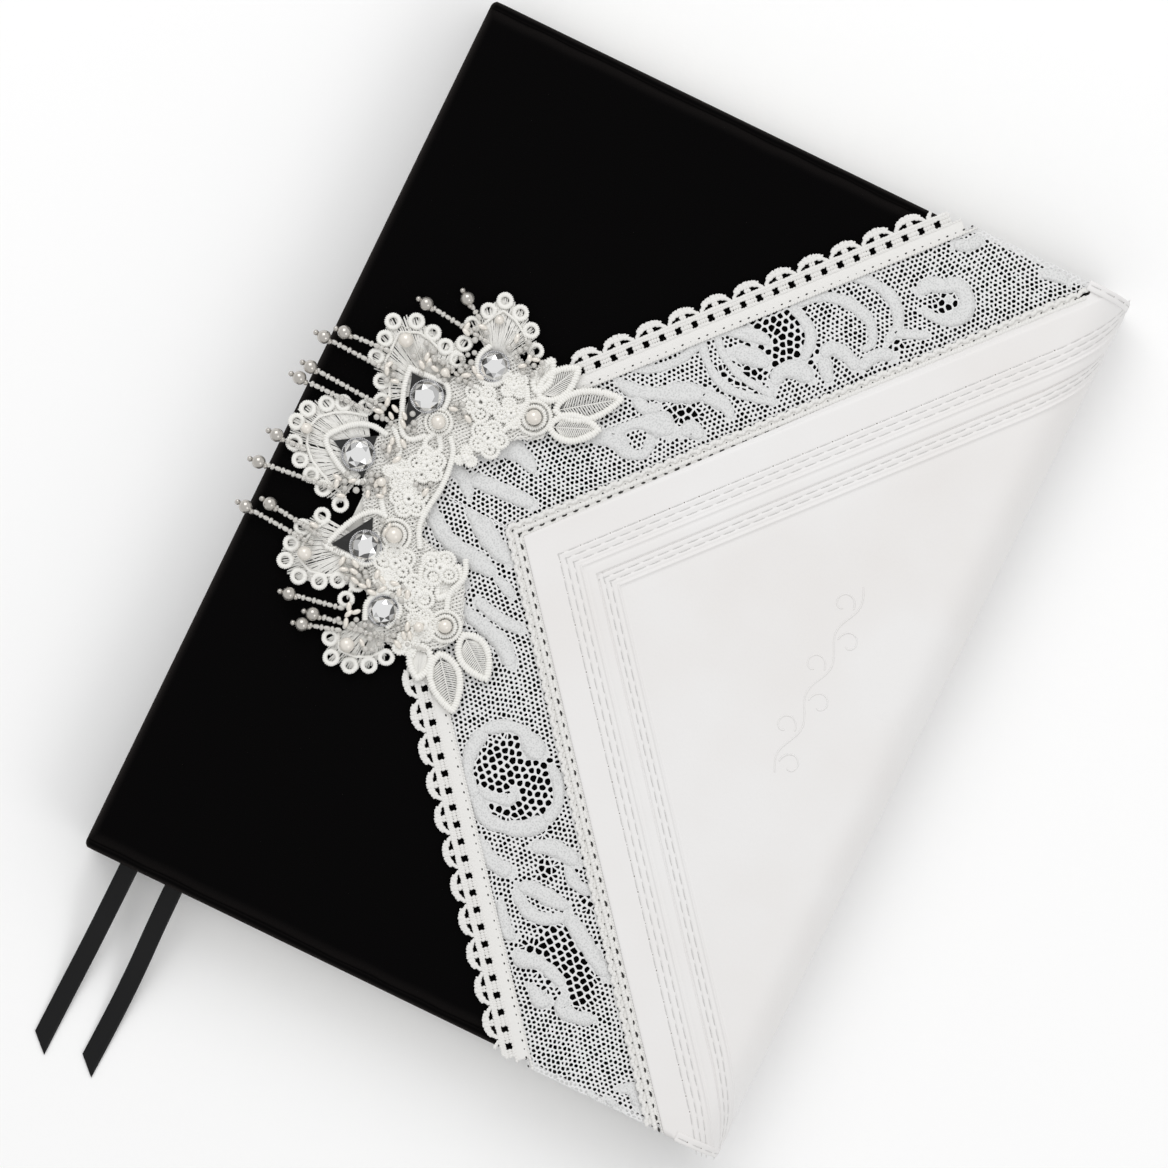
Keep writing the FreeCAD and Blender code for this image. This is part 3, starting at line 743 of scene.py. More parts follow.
# The lace: cotton net worked with flowers and leaves, cut as one band for each slanting side and
# mitred at the point. Net cells are small rounded holes, the flowers' hearts have larger ones, and
# the closed cloth work is a plain weave. Each figure is a stroke of (along, out, half width).
lace_cotton = bumpy_finish("lace_cotton", (0.80, 0.80, 0.80), 0.8, "Noise", 2600, 0.00012,
                           detail=3, Specular_IOR_Level=0.2)
cloth_work = new_finish("lace_cloth_work", (0.72, 0.72, 0.72), 0.85, Specular_IOR_Level=0.2)
# The weave's tone follows the same pattern that raises it. This is a real weave texture, with painted shade
# in the hollows between the threads.
shade_between(cloth_work, pattern(cloth_work, "ShaderNodeTexVoronoi", 2100), 0.15, 0.6,
              (0.58, 0.582, 0.58), (0.74, 0.742, 0.738))
raise_by(cloth_work, pattern(cloth_work, "ShaderNodeTexVoronoi", 2100), 0.00007)
lace_figures = {
    1: [[(-2, 22, 2.2), (4, 21, 2.6), (7, 17, 1.8), (8, 12.5, 0.8)],
        [(-6, 17, 1.6), (0, 11, 1.6), (5, 6, 1.5)], [(-12, 24, 1.8), (-8, 19, 1.5), (-8, 13, 1)],
        [(22.5, 15, 0.8), (28, 13, 2.2), (29.5, 9, 1.4), (33, 7, 1.0), (36, 9.5, 1.4)],
        [(28, 14.2, 1.2), (34, 14.2, 1.1), (39, 12, 2.9), (41, 9, 1.8)],
        [(34, 24.5, 1.3), (36.5, 21.5, 1.5), (41, 18.8, 1.4), (46, 17, 2.2), (51.5, 14.5, 1.8)],
        [(36, 20, 1.2), (37.5, 16.5, 1.3), (41, 15.6, 0.7)], [(43, 8, 1.2), (45.5, 8, 2.1), (47, 5.4, 1)],
        [(51, 14.5, 1.6), (54.5, 10.5, 1.5), (55, 7, 0.9)],
        [(37, 27.5, 1.0), (42, 24.5, 0.9), (49, 24, 0.9), (54.5, 26, 1.3)],
        [(55.5, 27, 1.0), (54.8, 21, 0.8), (56, 15, 1.0), (60, 10.5, 0.9), (66, 6.5, 1.0)],
        [(59.5, 27, 0.9), (58.8, 21.5, 0.8), (60.8, 15, 0.8), (66, 8, 0.8)],
        [(61.5, 20.5, 1.6), (65, 18.2, 2.0), (67.6, 15, 1.1)], [(61, 26.5, 0.8), (66, 23.5, 1.6),
                                                                (70, 20, 0.9)],
        [(67, 10.5, 1.4), (70, 12.6, 1.6), (73.5, 11.3, 2.0), (75.5, 8, 1.5)],
        [(77.5, 25, 0.8), (79.3, 21, 1.1), (79, 17, 1.3), (75.5, 13, 0.9)],
        [(80, 12, 1.6), (82.5, 13.2, 1.4), (85, 10.5, 1.5), (86.5, 6.5, 1.3)],
        [(79, 6, 1.1), (79.5, 9, 1.4), (80, 12, 1.3)],
        [(79, 26, 1.2), (85, 25, 1.0), (90, 21.5, 1.3), (93, 16, 1.2), (92, 11, 0.8), (89, 10, 0.7)],
        [(93.5, 27, 1.3), (97.5, 23, 1.1), (100, 18, 1.4), (99, 12.5, 1.0), (95, 9.6, 0.9)],
        [(87, 6.4, 1.3), (92, 7.6, 1.3), (95, 6, 1.6)], [(97.5, 11, 1.0), (101, 9, 1.0), (104.5, 7.4, 0.8)],
        [(106, 17.5, 1.3), (109.3, 18, 1.6), (112.5, 16.4, 1.5), (115, 15.8, 1.5), (116, 12, 1.5),
         (114, 9, 2.0), (110.5, 8.6, 1.4), (107.5, 10.5, 1.1), (105.5, 13, 0.9)],
        [(111.6, 13.4, 1.2), (112.2, 13.2, 1.2)], [(118, 24.8, 1.3), (121, 23, 1.2), (124, 23.6, 1.5)],
        [(134, 10.5, 1.1), (137, 9, 1.3), (139, 6.5, 1.0)]],
    -1: [[(-10, 10, 1.5), (-2, 8, 2.2), (5, 4.5, 1.6)], [(-12, 20, 1.6), (-3, 17, 1.8), (4, 11, 2.0),
                                                         (7, 8.5, 0.9)],
         [(3, 20, 1.5), (7, 16, 1.4), (9, 17.5, 1.0)], [(12, 13.8, 1.2), (17, 10, 1.3), (21, 5.5, 1.3)],
         [(12, 18.5, 1.2), (18, 14, 1.5), (23, 10.6, 1.8), (28.5, 9.6, 1.5)],
         [(8, 8, 1.0), (13, 5.5, 1.2)],
         [(41.5, 19, 1.4), (41.8, 14, 1.3), (44, 10.5, 1.2), (48.5, 8.7, 2.5), (51, 7.6, 1.3)],
         [(42, 19, 1.3), (45, 22.6, 1.6), (50, 25, 1.1), (56, 24.6, 1.4)],
         [(56, 24.6, 1.4), (61.5, 23.4, 1.6), (64.6, 19.5, 1.4), (66, 14.5, 1.9), (65.3, 10, 1.5)],
         [(65.3, 10, 1.5), (62.5, 6.6, 1.1), (57.5, 5.2, 1.3), (53.5, 5.8, 1.0)],
         [(55.5, 23, 0.9), (57.6, 20, 1.0), (58.6, 17, 1.3), (57.3, 15.6, 0.9)],
         [(66, 26, 1.1), (72, 24, 1.6), (75, 20.5, 1.7)], [(70.5, 14.5, 1.3), (72, 9.5, 1.8),
                                                           (76.5, 5, 1.5)],
         [(78.5, 19.6, 1.2), (80, 16.6, 1.6), (83.5, 12.6, 1.7), (86, 9.5, 0.9)],
         [(80, 20.5, 1.0), (85, 18.6, 1.5), (87.6, 15, 1.2), (88, 10.6, 1.3)],
         [(81, 24.5, 0.9), (88, 24.6, 1.4), (90, 23, 0.9)],
         [(88, 10, 1.6), (93, 8.2, 1.7), (99, 6.2, 1.6), (103.5, 4.4, 1.4)], [(77, 7.5, 1.2),
                                                                              (81, 6.6, 1.3),
                                                                              (84, 3.5, 1.0)],
         [(93.4, 24, 1.0), (95.5, 22.4, 1.9), (97, 19, 1.3), (101, 16, 1.4), (103.4, 15, 0.8)],
         [(102, 22, 1.1), (105.5, 20.6, 1.8), (106.4, 18.5, 1.0)],
         [(106, 14.6, 1.0), (108.5, 16.4, 1.6), (111.5, 13, 1.4), (112.5, 9.5, 1.3)],
         [(129.4, 14.5, 1.1), (131, 17.5, 1.0)], [(131, 11.5, 1.0), (135, 8.6, 1.2)],
         [(129.7, 7.6, 0.9), (130.6, 4.6, 1.5), (134.6, 3.8, 1.7)]],
}
lace_hearts = {1: [(62.5, 13.5, 3.2), (71, 20, 8.0), (76, 15, 4.2), (75.5, 23, 4.6), (41.5, 13.8, 1.8),
                   (46, 11.6, 2.6), (57, 16.5, 2.2), (97, 8, 1.6), (111, 12, 3.2)],
               -1: [(54, 14.5, 9.8), (60, 12, 5.5), (97, 13, 7.4), (104.5, 12, 4.6), (91, 15.5, 2.6),
                    (93.5, 20.5, 1.8), (102.5, 18.5, 1.5), (76, 13, 2.6), (68, 11, 1.2), (86, 5, 2.0)]}
lace_inner, lace_outer = 2.7, 27.0
net_pitch = 1.16


def stroke_line(stroke, step=0.5):
    """A smooth run of places and half widths through a figure's few points."""
    line = []
    padded_stroke = [stroke[0], *stroke, stroke[-1]]
    for a, b, c, d in zip(padded_stroke, padded_stroke[1:], padded_stroke[2:], padded_stroke[3:]):
        pieces = max(2, int(math.dist(b[:2], c[:2]) / step))
        for number in range(pieces):
            t = number / pieces
            line.append(tuple(0.5 * (2 * q + (r - p) * t + (2 * p - 5 * q + 4 * r - s) * t * t
                                     + (3 * q - p - 3 * r + s) * t ** 3)
                              for p, q, r, s in zip(a, b, c, d)))
    line.append(stroke[-1])
    return line


def cut_by(polygon, nx, ny, limit):
    """The part of a convex polygon where x * nx + y * ny is at most limit."""
    kept = []
    for number, (x, y) in enumerate(polygon):
        before = polygon[number - 1]
        here = x * nx + y * ny - limit
        there = before[0] * nx + before[1] * ny - limit
        if (here < 0) != (there < 0):
            share = there / (there - here)
            kept.append((before[0] + (x - before[0]) * share, before[1] + (y - before[1]) * share))
        if here <= 0:
            kept.append((x, y))
    return kept


def lace_band(side, seed):
    """One side's lace, flat: a cell for each hole of the net, and a border round each figure."""
    dice = random.Random(seed)
    figures = [stroke_line(stroke) for stroke in lace_figures[side]]
    blobs = [place for line in figures for place in line]
    boxes = {}
    for place in blobs:
        boxes.setdefault((int(place[0] // 4), int(place[1] // 4)), []).append(place)

    def depth_in_figure(s, d):
        best = -9.0
        for i in range(int(s // 4) - 1, int(s // 4) + 2):
            for j in range(int(d // 4) - 1, int(d // 4) + 2):
                for x, y, half in boxes.get((i, j), ()):
                    best = max(best, half - math.hypot(s - x, d - y))
        return best

    def in_heart(s, d):
        return any(math.hypot(s - x, d - y) < r for x, y, r in lace_hearts[side])

    seeds = []
    for pitch, hearts in ((net_pitch, False), (1.85, True)):
        row = 0
        d = lace_inner - 2
        while d < lace_outer + 2:
            s = -30 + (pitch / 2 if row % 2 else 0)
            while s < 150:
                jitter = pitch * 0.15
                x = s + dice.uniform(-jitter, jitter) + 0.5 * math.sin(d * 0.35 + s * 0.05)
                y = d + dice.uniform(-jitter, jitter) + 0.5 * math.sin(s * 0.16)
                if in_heart(x, y) == hearts:
                    seeds.append((x, y))
                s += pitch
            d += pitch * 0.87
            row += 1
    grid = {}
    for place in seeds:
        grid.setdefault((int(place[0] // 2), int(place[1] // 2)), []).append(place)
    slope = math.tan(half_angle)
    angle = off_square + side * half_angle
    ahead = (math.cos(angle), math.sin(angle))
    out = (-side * math.sin(angle), side * math.cos(angle))
    points = []
    faces = []
    cloth_faces = []
    for s, d in seeds:
        x, y = on_edge(side, s, d)
        if not (lace_inner - 1 < d < lace_outer + 1 and x < 73 and abs(y) < hem_half + 1):
            continue
        if s < -d / slope - 1.5:
            continue
        cell = [(s - 1.9, d - 1.9), (s + 1.9, d - 1.9), (s + 1.9, d + 1.9), (s - 1.9, d + 1.9)]
        for i in range(int(s // 2) - 2, int(s // 2) + 3):
            for j in range(int(d // 2) - 2, int(d // 2) + 3):
                for a, b in grid.get((i, j), ()):
                    if (a, b) != (s, d) and abs(a - s) < 3.8 and abs(b - d) < 3.8:
                        limit = (a * a + b * b - s * s - d * d) / 2
                        cell = cut_by(cell, a - s, b - d, limit)
        for nx, ny, limit in ((0, -1, -lace_inner), (0, 1, lace_outer), (-slope, -1, 0.0),
                              (ahead[0], out[0], 71.6 - point_x),
                              (side * ahead[1], side * out[1], hem_half - 0.3)):
            cell = cut_by(cell, nx, ny, limit)
            if len(cell) < 3:
                break
        if len(cell) < 3:
            continue
        middle = (sum(p[0] for p in cell) / len(cell), sum(p[1] for p in cell) / len(cell))
        depth = depth_in_figure(*middle)
        rim = []
        for number, place in enumerate(cell):
            after = cell[(number + 1) % len(cell)]
            rim += [place, ((place[0] + after[0]) / 2, (place[1] + after[1]) / 2)]
        first = len(points)
        points += [(*on_edge(side, *p), 0.0) for p in rim]
        count = len(rim)
        if depth > 0.05:
            faces.append(tuple(range(first, first + count)))
            cloth_faces.append(True)
            continue
        thread = (0.21 if in_heart(*middle) else 0.19) * dice.uniform(0.75, 1.4)
        for number, (a, b) in enumerate(rim):
            reach = math.hypot(a - middle[0], b - middle[1])
            corner = 1.55 if number % 2 == 0 else 1.0
            keep = max(0.12, 1 - corner * thread / max(reach, 1e-6))
            points.append((*on_edge(side, middle[0] + (a - middle[0]) * keep,
                                    middle[1] + (b - middle[1]) * keep), 0.0))
        for number in range(count):
            after = (number + 1) % count
            faces.append((first + number, first + after, first + count + after,
                          first + count + number))
            cloth_faces.append(False)
    for line in figures:
        first = len(points)
        inside = []
        for number, (s, d, half) in enumerate(line):
            p = line[max(0, number - 1)]
            q = line[min(len(line) - 1, number + 1)]
            length = math.hypot(q[0] - p[0], q[1] - p[1]) or 1
            nx, ny = -(q[1] - p[1]) / length, (q[0] - p[0]) / length
            near_end = min(number, len(line) - 1 - number) * 0.5
            half *= (1.15 + 0.1 * math.sin(number * 0.5 + s)) * math.sqrt(
                min(1.0, (near_end + 0.05) / max(half, 0.1)))
            for share in (-1, -0.4, 0.4, 1):
                a, b = s + nx * half * share, d + ny * half * share
                x, y = on_edge(side, a, b)
                points.append((x, y, 0.035 if abs(share) < 1 else 0.015))
                inside.append(a > -b / slope and lace_inner < b < lace_outer
                              and x < 71.6 and abs(y) < hem_half - 0.3)
        for number in range(len(line) - 1):
            for across in range(3):
                corners = [number * 4 + across, number * 4 + across + 1,
                           number * 4 + across + 5, number * 4 + across + 4]
                if all(inside[c] for c in corners):
                    faces.append(tuple(first + c for c in corners))
                    cloth_faces.append(True)
    return points, faces, cloth_faces


lace_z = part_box("lace_head")[0].z / mm
for side, name in ((1, "head"), (-1, "tail")):
    flat_points, lace_faces, cloth = lace_band(side, 7 + side)
    lace = new_piece(f"lace_{name}_band", [Vector((x, y, lace_z + 0.12 + lift)) * mm
                                           for x, y, lift in flat_points], lace_faces, lace_cotton)
    lace.data.materials.append(cloth_work)
    lace.data.polygons.foreach_set("material_index", [int(flag) for flag in cloth])
    joined = bmesh.new()
    joined.from_mesh(lace.data)
    bmesh.ops.remove_doubles(joined, verts=joined.verts, dist=2e-6)
    for face in joined.faces:
        if face.normal.z < 0:
            face.normal_flip()
    joined.to_mesh(lace.data)
    joined.free()
    thick = lace.modifiers.new("thread", "SOLIDIFY")
    thick.thickness = 0.26 * mm
    thick.offset = -1
    apply_modifiers(lace)
    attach(lace, "flap")
    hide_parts(f"lace_{name}")

# Gimp hides the seam of leather and lace: a crocheted edging with a scalloped side, sewn down
# through a row of small holes. The braid is a plain woven tape on the lace's other side, and the
# picot edge outside it is crocheted in posts, a bar and scallops.
white_thread = bumpy_finish("white_thread", (0.80, 0.79, 0.77), 0.75, "Noise", 1900, 0.00015,
                            detail=4, Specular_IOR_Level=0.25)
sewn_gap = bumpy_finish("sewn_gap", (0.03, 0.028, 0.026), 0.95, "Noise", 3000, 0.00002)
crochet_turn = bead_shape(1.25, 1.0, 0.75, 7, 4)
small_turn = bead_shape(0.95, 0.7, 0.6, 6, 4)
trim_z = lace_z + 0.5
braid_inner, braid_outer = 26.0, 29.4
bar_outer = 32.0
scallop_pitch = 8.1


def edge_run(side, outward, wave=0.0, pitch=1.0, phase=0.0, start=None, lift=0.0, step=0.35):
    """A line along a slanting side, as far as the fold or the head or tail of the flap."""
    slope = math.tan(half_angle)
    along = -outward / slope + 0.2 if start is None else start
    line = []
    while along < 150:
        out = outward + wave * abs(math.sin(math.pi * (along / pitch + phase)))
        x, y = on_edge(side, along, out)
        if x > 71.4 or abs(y) > hem_half - 0.5:
            break
        line.append((x, y, trim_z + lift))
        along += step
    return line


def moved_out(side, place, distance):
    """A place shifted straight out from a slanting side."""
    angle = off_square + side * half_angle
    return (place[0] - side * distance * math.sin(angle),
            place[1] + side * distance * math.cos(angle), place[2])


def tape(name, side, inner, outer, finish, start=None, crown=0.25, scallop=0.0, pitch=2.8):
    """A flat woven strip along a slanting side, a little crowned."""
    rows = []
    along = 0.0 if start is None else start
    slope = math.tan(half_angle)
    shares = [0, 0.12, 0.3, 0.5, 0.7, 0.88, 1]
    while along < 150:
        row = []
        for share in shares:
            out = inner + (outer - inner) * share
            if share == 1:
                out += scallop * abs(math.sin(math.pi * along / pitch))
            run = along if start is not None or along > 3 else along - out / slope * (1 - along / 3)
            x, y = on_edge(side, run, out)
            row.append((x, y, trim_z - 0.1 + crown * math.sin(math.pi * (0.12 + 0.76 * share))))
        if max(p[0] for p in row) > 71.5 or max(abs(p[1]) for p in row) > hem_half - 0.2:
            break
        rows.append(row)
        along += 0.35
    count = len(shares)
    flat = [Vector(p) * mm for row in rows for p in row]
    strip = new_piece(name, flat, faces_between(len(rows), count, closed=False), finish)
    if sum(p.normal.z for p in strip.data.polygons) < 0:
        strip.data.flip_normals()
    thick = strip.modifiers.new("thickness", "SOLIDIFY")
    thick.thickness = 0.3 * mm
    thick.offset = -1
    return apply_modifiers(strip)


def join_pieces(name, pieces):
    """One piece from several, with their materials kept."""
    bpy.ops.object.select_all(action="DESELECT")
    for piece in pieces:
        piece.select_set(True)
    bpy.context.view_layer.objects.active = pieces[0]
    bpy.ops.object.join()
    pieces[0].name = name
    return pieces[0]


for side, name in ((1, "head"), (-1, "tail")):
    gimp = [tape(f"gimp_tape_{name}", side, 0.1, 3.0, white_thread, scallop=0.5),
            in_a_row(f"gimp_cord_{name}", [edge_run(side, 1.55, lift=0.15),
                                           edge_run(side, 2.6, 0.75, 2.8, lift=0.15)],
                     bead_shape(1.45, 1.25, 0.95, 7, 4), 0.8, white_thread, 0.85, side * 0.6, 0.3, 3),
            in_a_row(f"gimp_edge_{name}", [edge_run(side, 0.15, lift=0.0)], small_turn, 0.7,
                     white_thread, 0.9, 0.3, 0.2, 4),
            in_a_row(f"gimp_holes_{name}", [edge_run(side, 0.85, lift=0.13)],
                     bead_shape(1.6, 0.75, 0.3, 6, 3), 2.8, sewn_gap, 0.6, 0, 0.2, 5),
            in_a_row(f"gimp_dots_{name}", [edge_run(side, 2.2, lift=0.25)],
                     bead_shape(0.5, 0.4, 0.3, 6, 3), 2.8, sewn_gap, 0.5, 0, 0.2, 6)]
    gimp = join_pieces(f"gimp_edging_{name}", gimp)
    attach(gimp, "flap")
    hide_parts(f"gimp_{name}")
    begin = 24.0 if side == 1 else 22.0
    braid = [tape(f"braid_tape_{name}", side, braid_inner, braid_outer, white_thread, start=begin,
                  crown=0.3),
             in_a_row(f"braid_edges_{name}", [edge_run(side, 26.1, start=begin),
                                              edge_run(side, 29.2, start=begin)],
                      small_turn, 0.75, white_thread, 0.9, 0.35, 0.1, 8),
             in_a_row(f"braid_holes_{name}", [edge_run(side, 26.9, start=begin, lift=0.13)],
                      bead_shape(0.7, 0.5, 0.3, 6, 3), 2.03, sewn_gap, 0.4, 0, 0.2, 9)]
    braid = join_pieces(f"braid_{name}_tape", braid)
    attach(braid, "flap")
    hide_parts(f"braid_{name}")
    lines = [edge_run(side, 31.4, start=begin), edge_run(side, 31.9, start=begin, lift=0.1)]
    arcs = []
    along = begin + 1
    while along < 150:
        posts = [along + scallop_pitch * share for share in (0.0, 0.5)]
        for post in posts:
            for shift in (-0.95, -0.3, 0.3, 0.95):
                lines.append([(*on_edge(side, post + shift, out), trim_z)
                              for out in (braid_outer, 30.0, 30.6, 31.2)])
        bow = []
        for step in range(21):
            share = step / 20
            out = bar_outer + 1.95 * math.sin(math.pi * share) ** 0.55
            bow.append((*on_edge(side, along + scallop_pitch * (0.06 + 0.88 * share), out), trim_z))
        arcs.append(bow)
        for shift in (-0.35, 0.35):
            lines.append([(*on_edge(side, along + scallop_pitch / 2 + shift, out), trim_z)
                          for out in (bar_outer, 32.8, 33.6)])
        for end, turn in ((0.06, 1), (0.94, -1)):
            foot = along + scallop_pitch * end
            lines.append([(*on_edge(side, foot + turn * shift, 32.4 + shift), trim_z)
                          for shift in (0.1, 0.6, 1.0)])
        along += scallop_pitch
    inside = [line for line in lines + arcs
              if max(p[0] for p in line) < 71.4 and max(abs(p[1]) for p in line) < hem_half - 0.4]
    bows = [line for line in arcs if line in inside]
    bumps = []
    for bow in bows:
        for step in (4, 7, 10, 13, 16):
            bumps.append([bow[step], moved_out(side, bow[step], 0.5)])
    outer = [[moved_out(side, place, 0.75) for place in bow[2:-2]] for bow in bows]
    picot = [in_a_row(f"picot_lines_{name}", inside, crochet_turn, 0.62, white_thread, 0.8, 0.5,
                      0.35, 11),
             in_a_row(f"picot_rim_{name}", outer, small_turn, 0.62, white_thread, 0.75, 0.9, 0.4, 12),
             in_a_row(f"picot_bumps_{name}", bumps, bead_shape(1.3, 1.5, 0.7, 7, 4), 0.5,
                      white_thread, 0.85, 0, 0.4, 13)]
    picot = join_pieces(f"picot_{name}_edge", picot)
    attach(picot, "flap")
    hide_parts(f"picot_{name}")

# The applique is machine embroidery on dissolved net: fans of fine thread with a rim of wound
# eyelets, wound cord round every leaf, and a dense middle of corded flowers.
cord_silk = bumpy_finish("ivory_cord", (0.88, 0.87, 0.835), 0.55, "Noise", 2200, 0.00008, detail=3,
                         Specular_IOR_Level=0.35)
net_thread = bumpy_finish("net_thread", (0.85, 0.84, 0.81), 0.7, "Noise", 2600, 0.00004,
                          Specular_IOR_Level=0.3)
net_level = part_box("petal_net_1")[1].z / mm
fans = [
    ((-44.8, 33.0), [(-53.4, 39), (-51.4, 43.4), (-49, 47.2), (-44.6, 46.2), (-40.6, 43.6), (-37.6, 39.8)]),
    ((-55.2, 21.0), [(-64.6, 13.8), (-66.6, 18), (-70.2, 22.6), (-70.2, 27.2), (-70.2, 31.6), (-65.4, 34),
                     (-60.8, 33.2), (-56.8, 31.6), (-53.2, 34.2), (-53, 30)]),
    ((-60.5, 0.6), [(-67.2, 11), (-72.4, 9.6), (-75.8, 7.8), (-79.2, 4.8), (-80.2, 1), (-78.6, -3.6),
                    (-75.6, -6.6),
                    (-71.8, -8.6), (-68, -10.2), (-62.8, -11.8)]),
    ((-53.0, -17.4), [(-65.4, -16), (-68.4, -20.4), (-69, -24.8), (-68.6, -29), (-64.2, -31),
                      (-59.4, -30), (-55.6, -27.8),
                      (-51.2, -26.6), (-52, -31)]),
    ((-43.4, -30.0), [(-51.4, -40.6), (-49.2, -44.6), (-44.6, -44.4), (-40.6, -42.4), (-37.8, -39)]),
]
dice = random.Random(5)


def fine_threads(name, lines, radius, finish):
    """Thin threads of four sides along lines of places in millimetres."""
    points = []
    faces = []
    for line in lines:
        line = [Vector(place) for place in line]
        first = len(points)
        for number, place in enumerate(line):
            ahead = (line[min(number + 1, len(line) - 1)] - line[max(number - 1, 0)]).normalized()
            sideways = ahead.cross(Vector((0, 0, 1))).normalized()
            for a, b in ((1, 0), (0, 1), (-1, 0), (0, -1)):
                points.append((place + (sideways * a + Vector((0, 0, b))) * radius) * mm)
        for a in range(len(line) - 1):
            for b in range(4):
                low = first + a * 4
                faces.append((low + b, low + (b + 1) % 4, low + 4 + (b + 1) % 4, low + 4 + b))
        faces.append((first + 3, first + 2, first + 1, first))
        last = first + (len(line) - 1) * 4
        faces.append((last, last + 1, last + 2, last + 3))
    return new_piece(name, points, faces, finish)


def on_rim(rim, share):
    """A place part of the way along a line of points."""
    place = share * (len(rim) - 1)
    low = min(len(rim) - 2, int(place))
    a, b = rim[low], rim[low + 1]
    return (a[0] + (b[0] - a[0]) * (place - low), a[1] + (b[1] - a[1]) * (place - low))


def ring(x, y, radius, z, steps=24, start=0.0, stretch=1.0):
    """A closed circle of places in millimetres, or an oval one."""
    return [(x + radius * math.cos(start + 2 * math.pi * n / steps),
             y + radius * stretch * math.sin(start + 2 * math.pi * n / steps), z)
            for n in range(steps + 1)]


wound_turn = bead_shape(0.62, 1.4, 1.0, 7, 4)
heavy_turn = bead_shape(0.95, 2.0, 1.5, 8, 4)
light_turn = bead_shape(0.75, 1.4, 1.15, 6, 3)
for number, (hub, rim) in enumerate(fans, start=1):
    lines = []
    strands = int(sum(math.dist(a, b) for a, b in zip(rim, rim[1:])) / 0.62)
    for layer, skew in ((0, -0.05), (1, 0.05)):
        for strand in range(strands):
            share = min(1, max(0, (strand + dice.uniform(-0.3, 0.3)) / strands))
            x, y = on_rim(rim, share)
            inner = on_rim(rim, min(1, max(0, share + skew)))
            hx = hub[0] + (inner[0] - hub[0]) * 0.12
            hy = hub[1] + (inner[1] - hub[1]) * 0.12
            out = dice.uniform(1.02, 1.10)
            bow = dice.uniform(-0.35, 0.35)
            lines.append([(hx, hy, net_level + 0.1),
                          ((hx + x) / 2 + bow, (hy + y) / 2 - bow, net_level - 0.1 + 0.12 * layer),
                          (hub[0] + (x - hub[0]) * out, hub[1] + (y - hub[1]) * out, net_level - 0.3)])
    for share in (0.3, 0.45, 0.58, 0.7, 0.82, 0.93):
        lines.append([(hub[0] + (on_rim(rim, n / 30)[0] - hub[0]) * (share + 0.035 * (-1) ** n),
                       hub[1] + (on_rim(rim, n / 30)[1] - hub[1]) * (share + 0.035 * (-1) ** n),
                       net_level - 0.05) for n in range(31)])
    net = fine_threads(f"fan_threads_{number}", lines, 0.16, net_thread)
    eyelets = in_a_row(f"fan_eyelets_{number}", [ring(x, y, 1.5, net_level + 0.05) for x, y in rim],
                       wound_turn, 0.36, cord_silk, 0.9, 0.0, 0.12, 20 + number)
    inside_rim = [(hub[0] + (on_rim(rim, n / 40)[0] - hub[0]) * 0.84,
                   hub[1] + (on_rim(rim, n / 40)[1] - hub[1]) * 0.84, net_level + 0.1)
                  for n in range(41)]
    edge = in_a_row(f"fan_edge_{number}", [inside_rim], bead_shape(0.6, 0.95, 0.8, 7, 4), 0.42,
                    cord_silk, 0.8, 0.2, 0.3, 30 + number)
    fan = join_pieces(f"fan_{number}", [net, eyelets, edge])
    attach(fan, "flap")
    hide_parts(f"petal_net_{number}")

# Leaves and frames are wound over a thick core, so the thread shows as close ribs across the
# cord. The flowers are loops of thinner cord round a knot, heaped over each other.
leaf_places = [((-32, 30.5), (-27.0, 40.5), 3.0), ((-33.6, 31.5), (-33.2, 39.6), 1.9), ((-27.4, 29.4),
               (-15.0, 38.4), 3.3),
               ((-27, 25.4), (-16.6, 29.8), 3.0), ((-23.8, -26.6), (-14.8, -33.4), 3.3),
               ((-27, -33), (-18.6, -43.4), 3.4), ((-31.4, -33), (-29.2, -40.2), 2.5),
               ((-36.6, -12.2), (-38, -20), 2.3), ((-31.8, -13), (-33, -21.5), 2.3)]
outlines = []
veins = []


def leaf_place(start, end, run, aside, lift):
    """A place by its run along a leaf's vein and its distance aside, in millimetres."""
    length = math.dist(start, end)
    ux, uy = (end[0] - start[0]) / length, (end[1] - start[1]) / length
    return (start[0] + ux * run - uy * aside, start[1] + uy * run + ux * aside, net_level + lift)


def leaf_half(half, share):
    """Half the leaf's width at a share of its length; it is widest before the middle."""
    return half * math.sin(math.pi * share ** 0.8) ** 0.8


for start, end, half in leaf_places:
    length = math.dist(start, end)
    for way in (1, -1):
        outlines.append([leaf_place(start, end, n / 24 * length, way * leaf_half(half, n / 24), 0.35)
                         for n in range(25)])
    for n in range(3, 22):
        run = n / 24 * length
        for way in (1, -1):
            veins.append([leaf_place(start, end, run, 0, 0.25),
                          leaf_place(start, end, run + 1.4, way * leaf_half(half, n / 24), 0.2)])
    veins.append([leaf_place(start, end, share * length, 0, 0.3) for share in (0.05, 0.5, 0.92)])
leaf_cord = in_a_row("leaf_cord", outlines, heavy_turn, 0.62, cord_silk, 0.85, 0.12, 0.12, 41)
leaf_veins = fine_threads("leaf_veins", veins, 0.17, net_thread)
leaves = join_pieces("corded_leaves", [leaf_cord, leaf_veins])
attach(leaves, "flap")
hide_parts("cord_leaves")

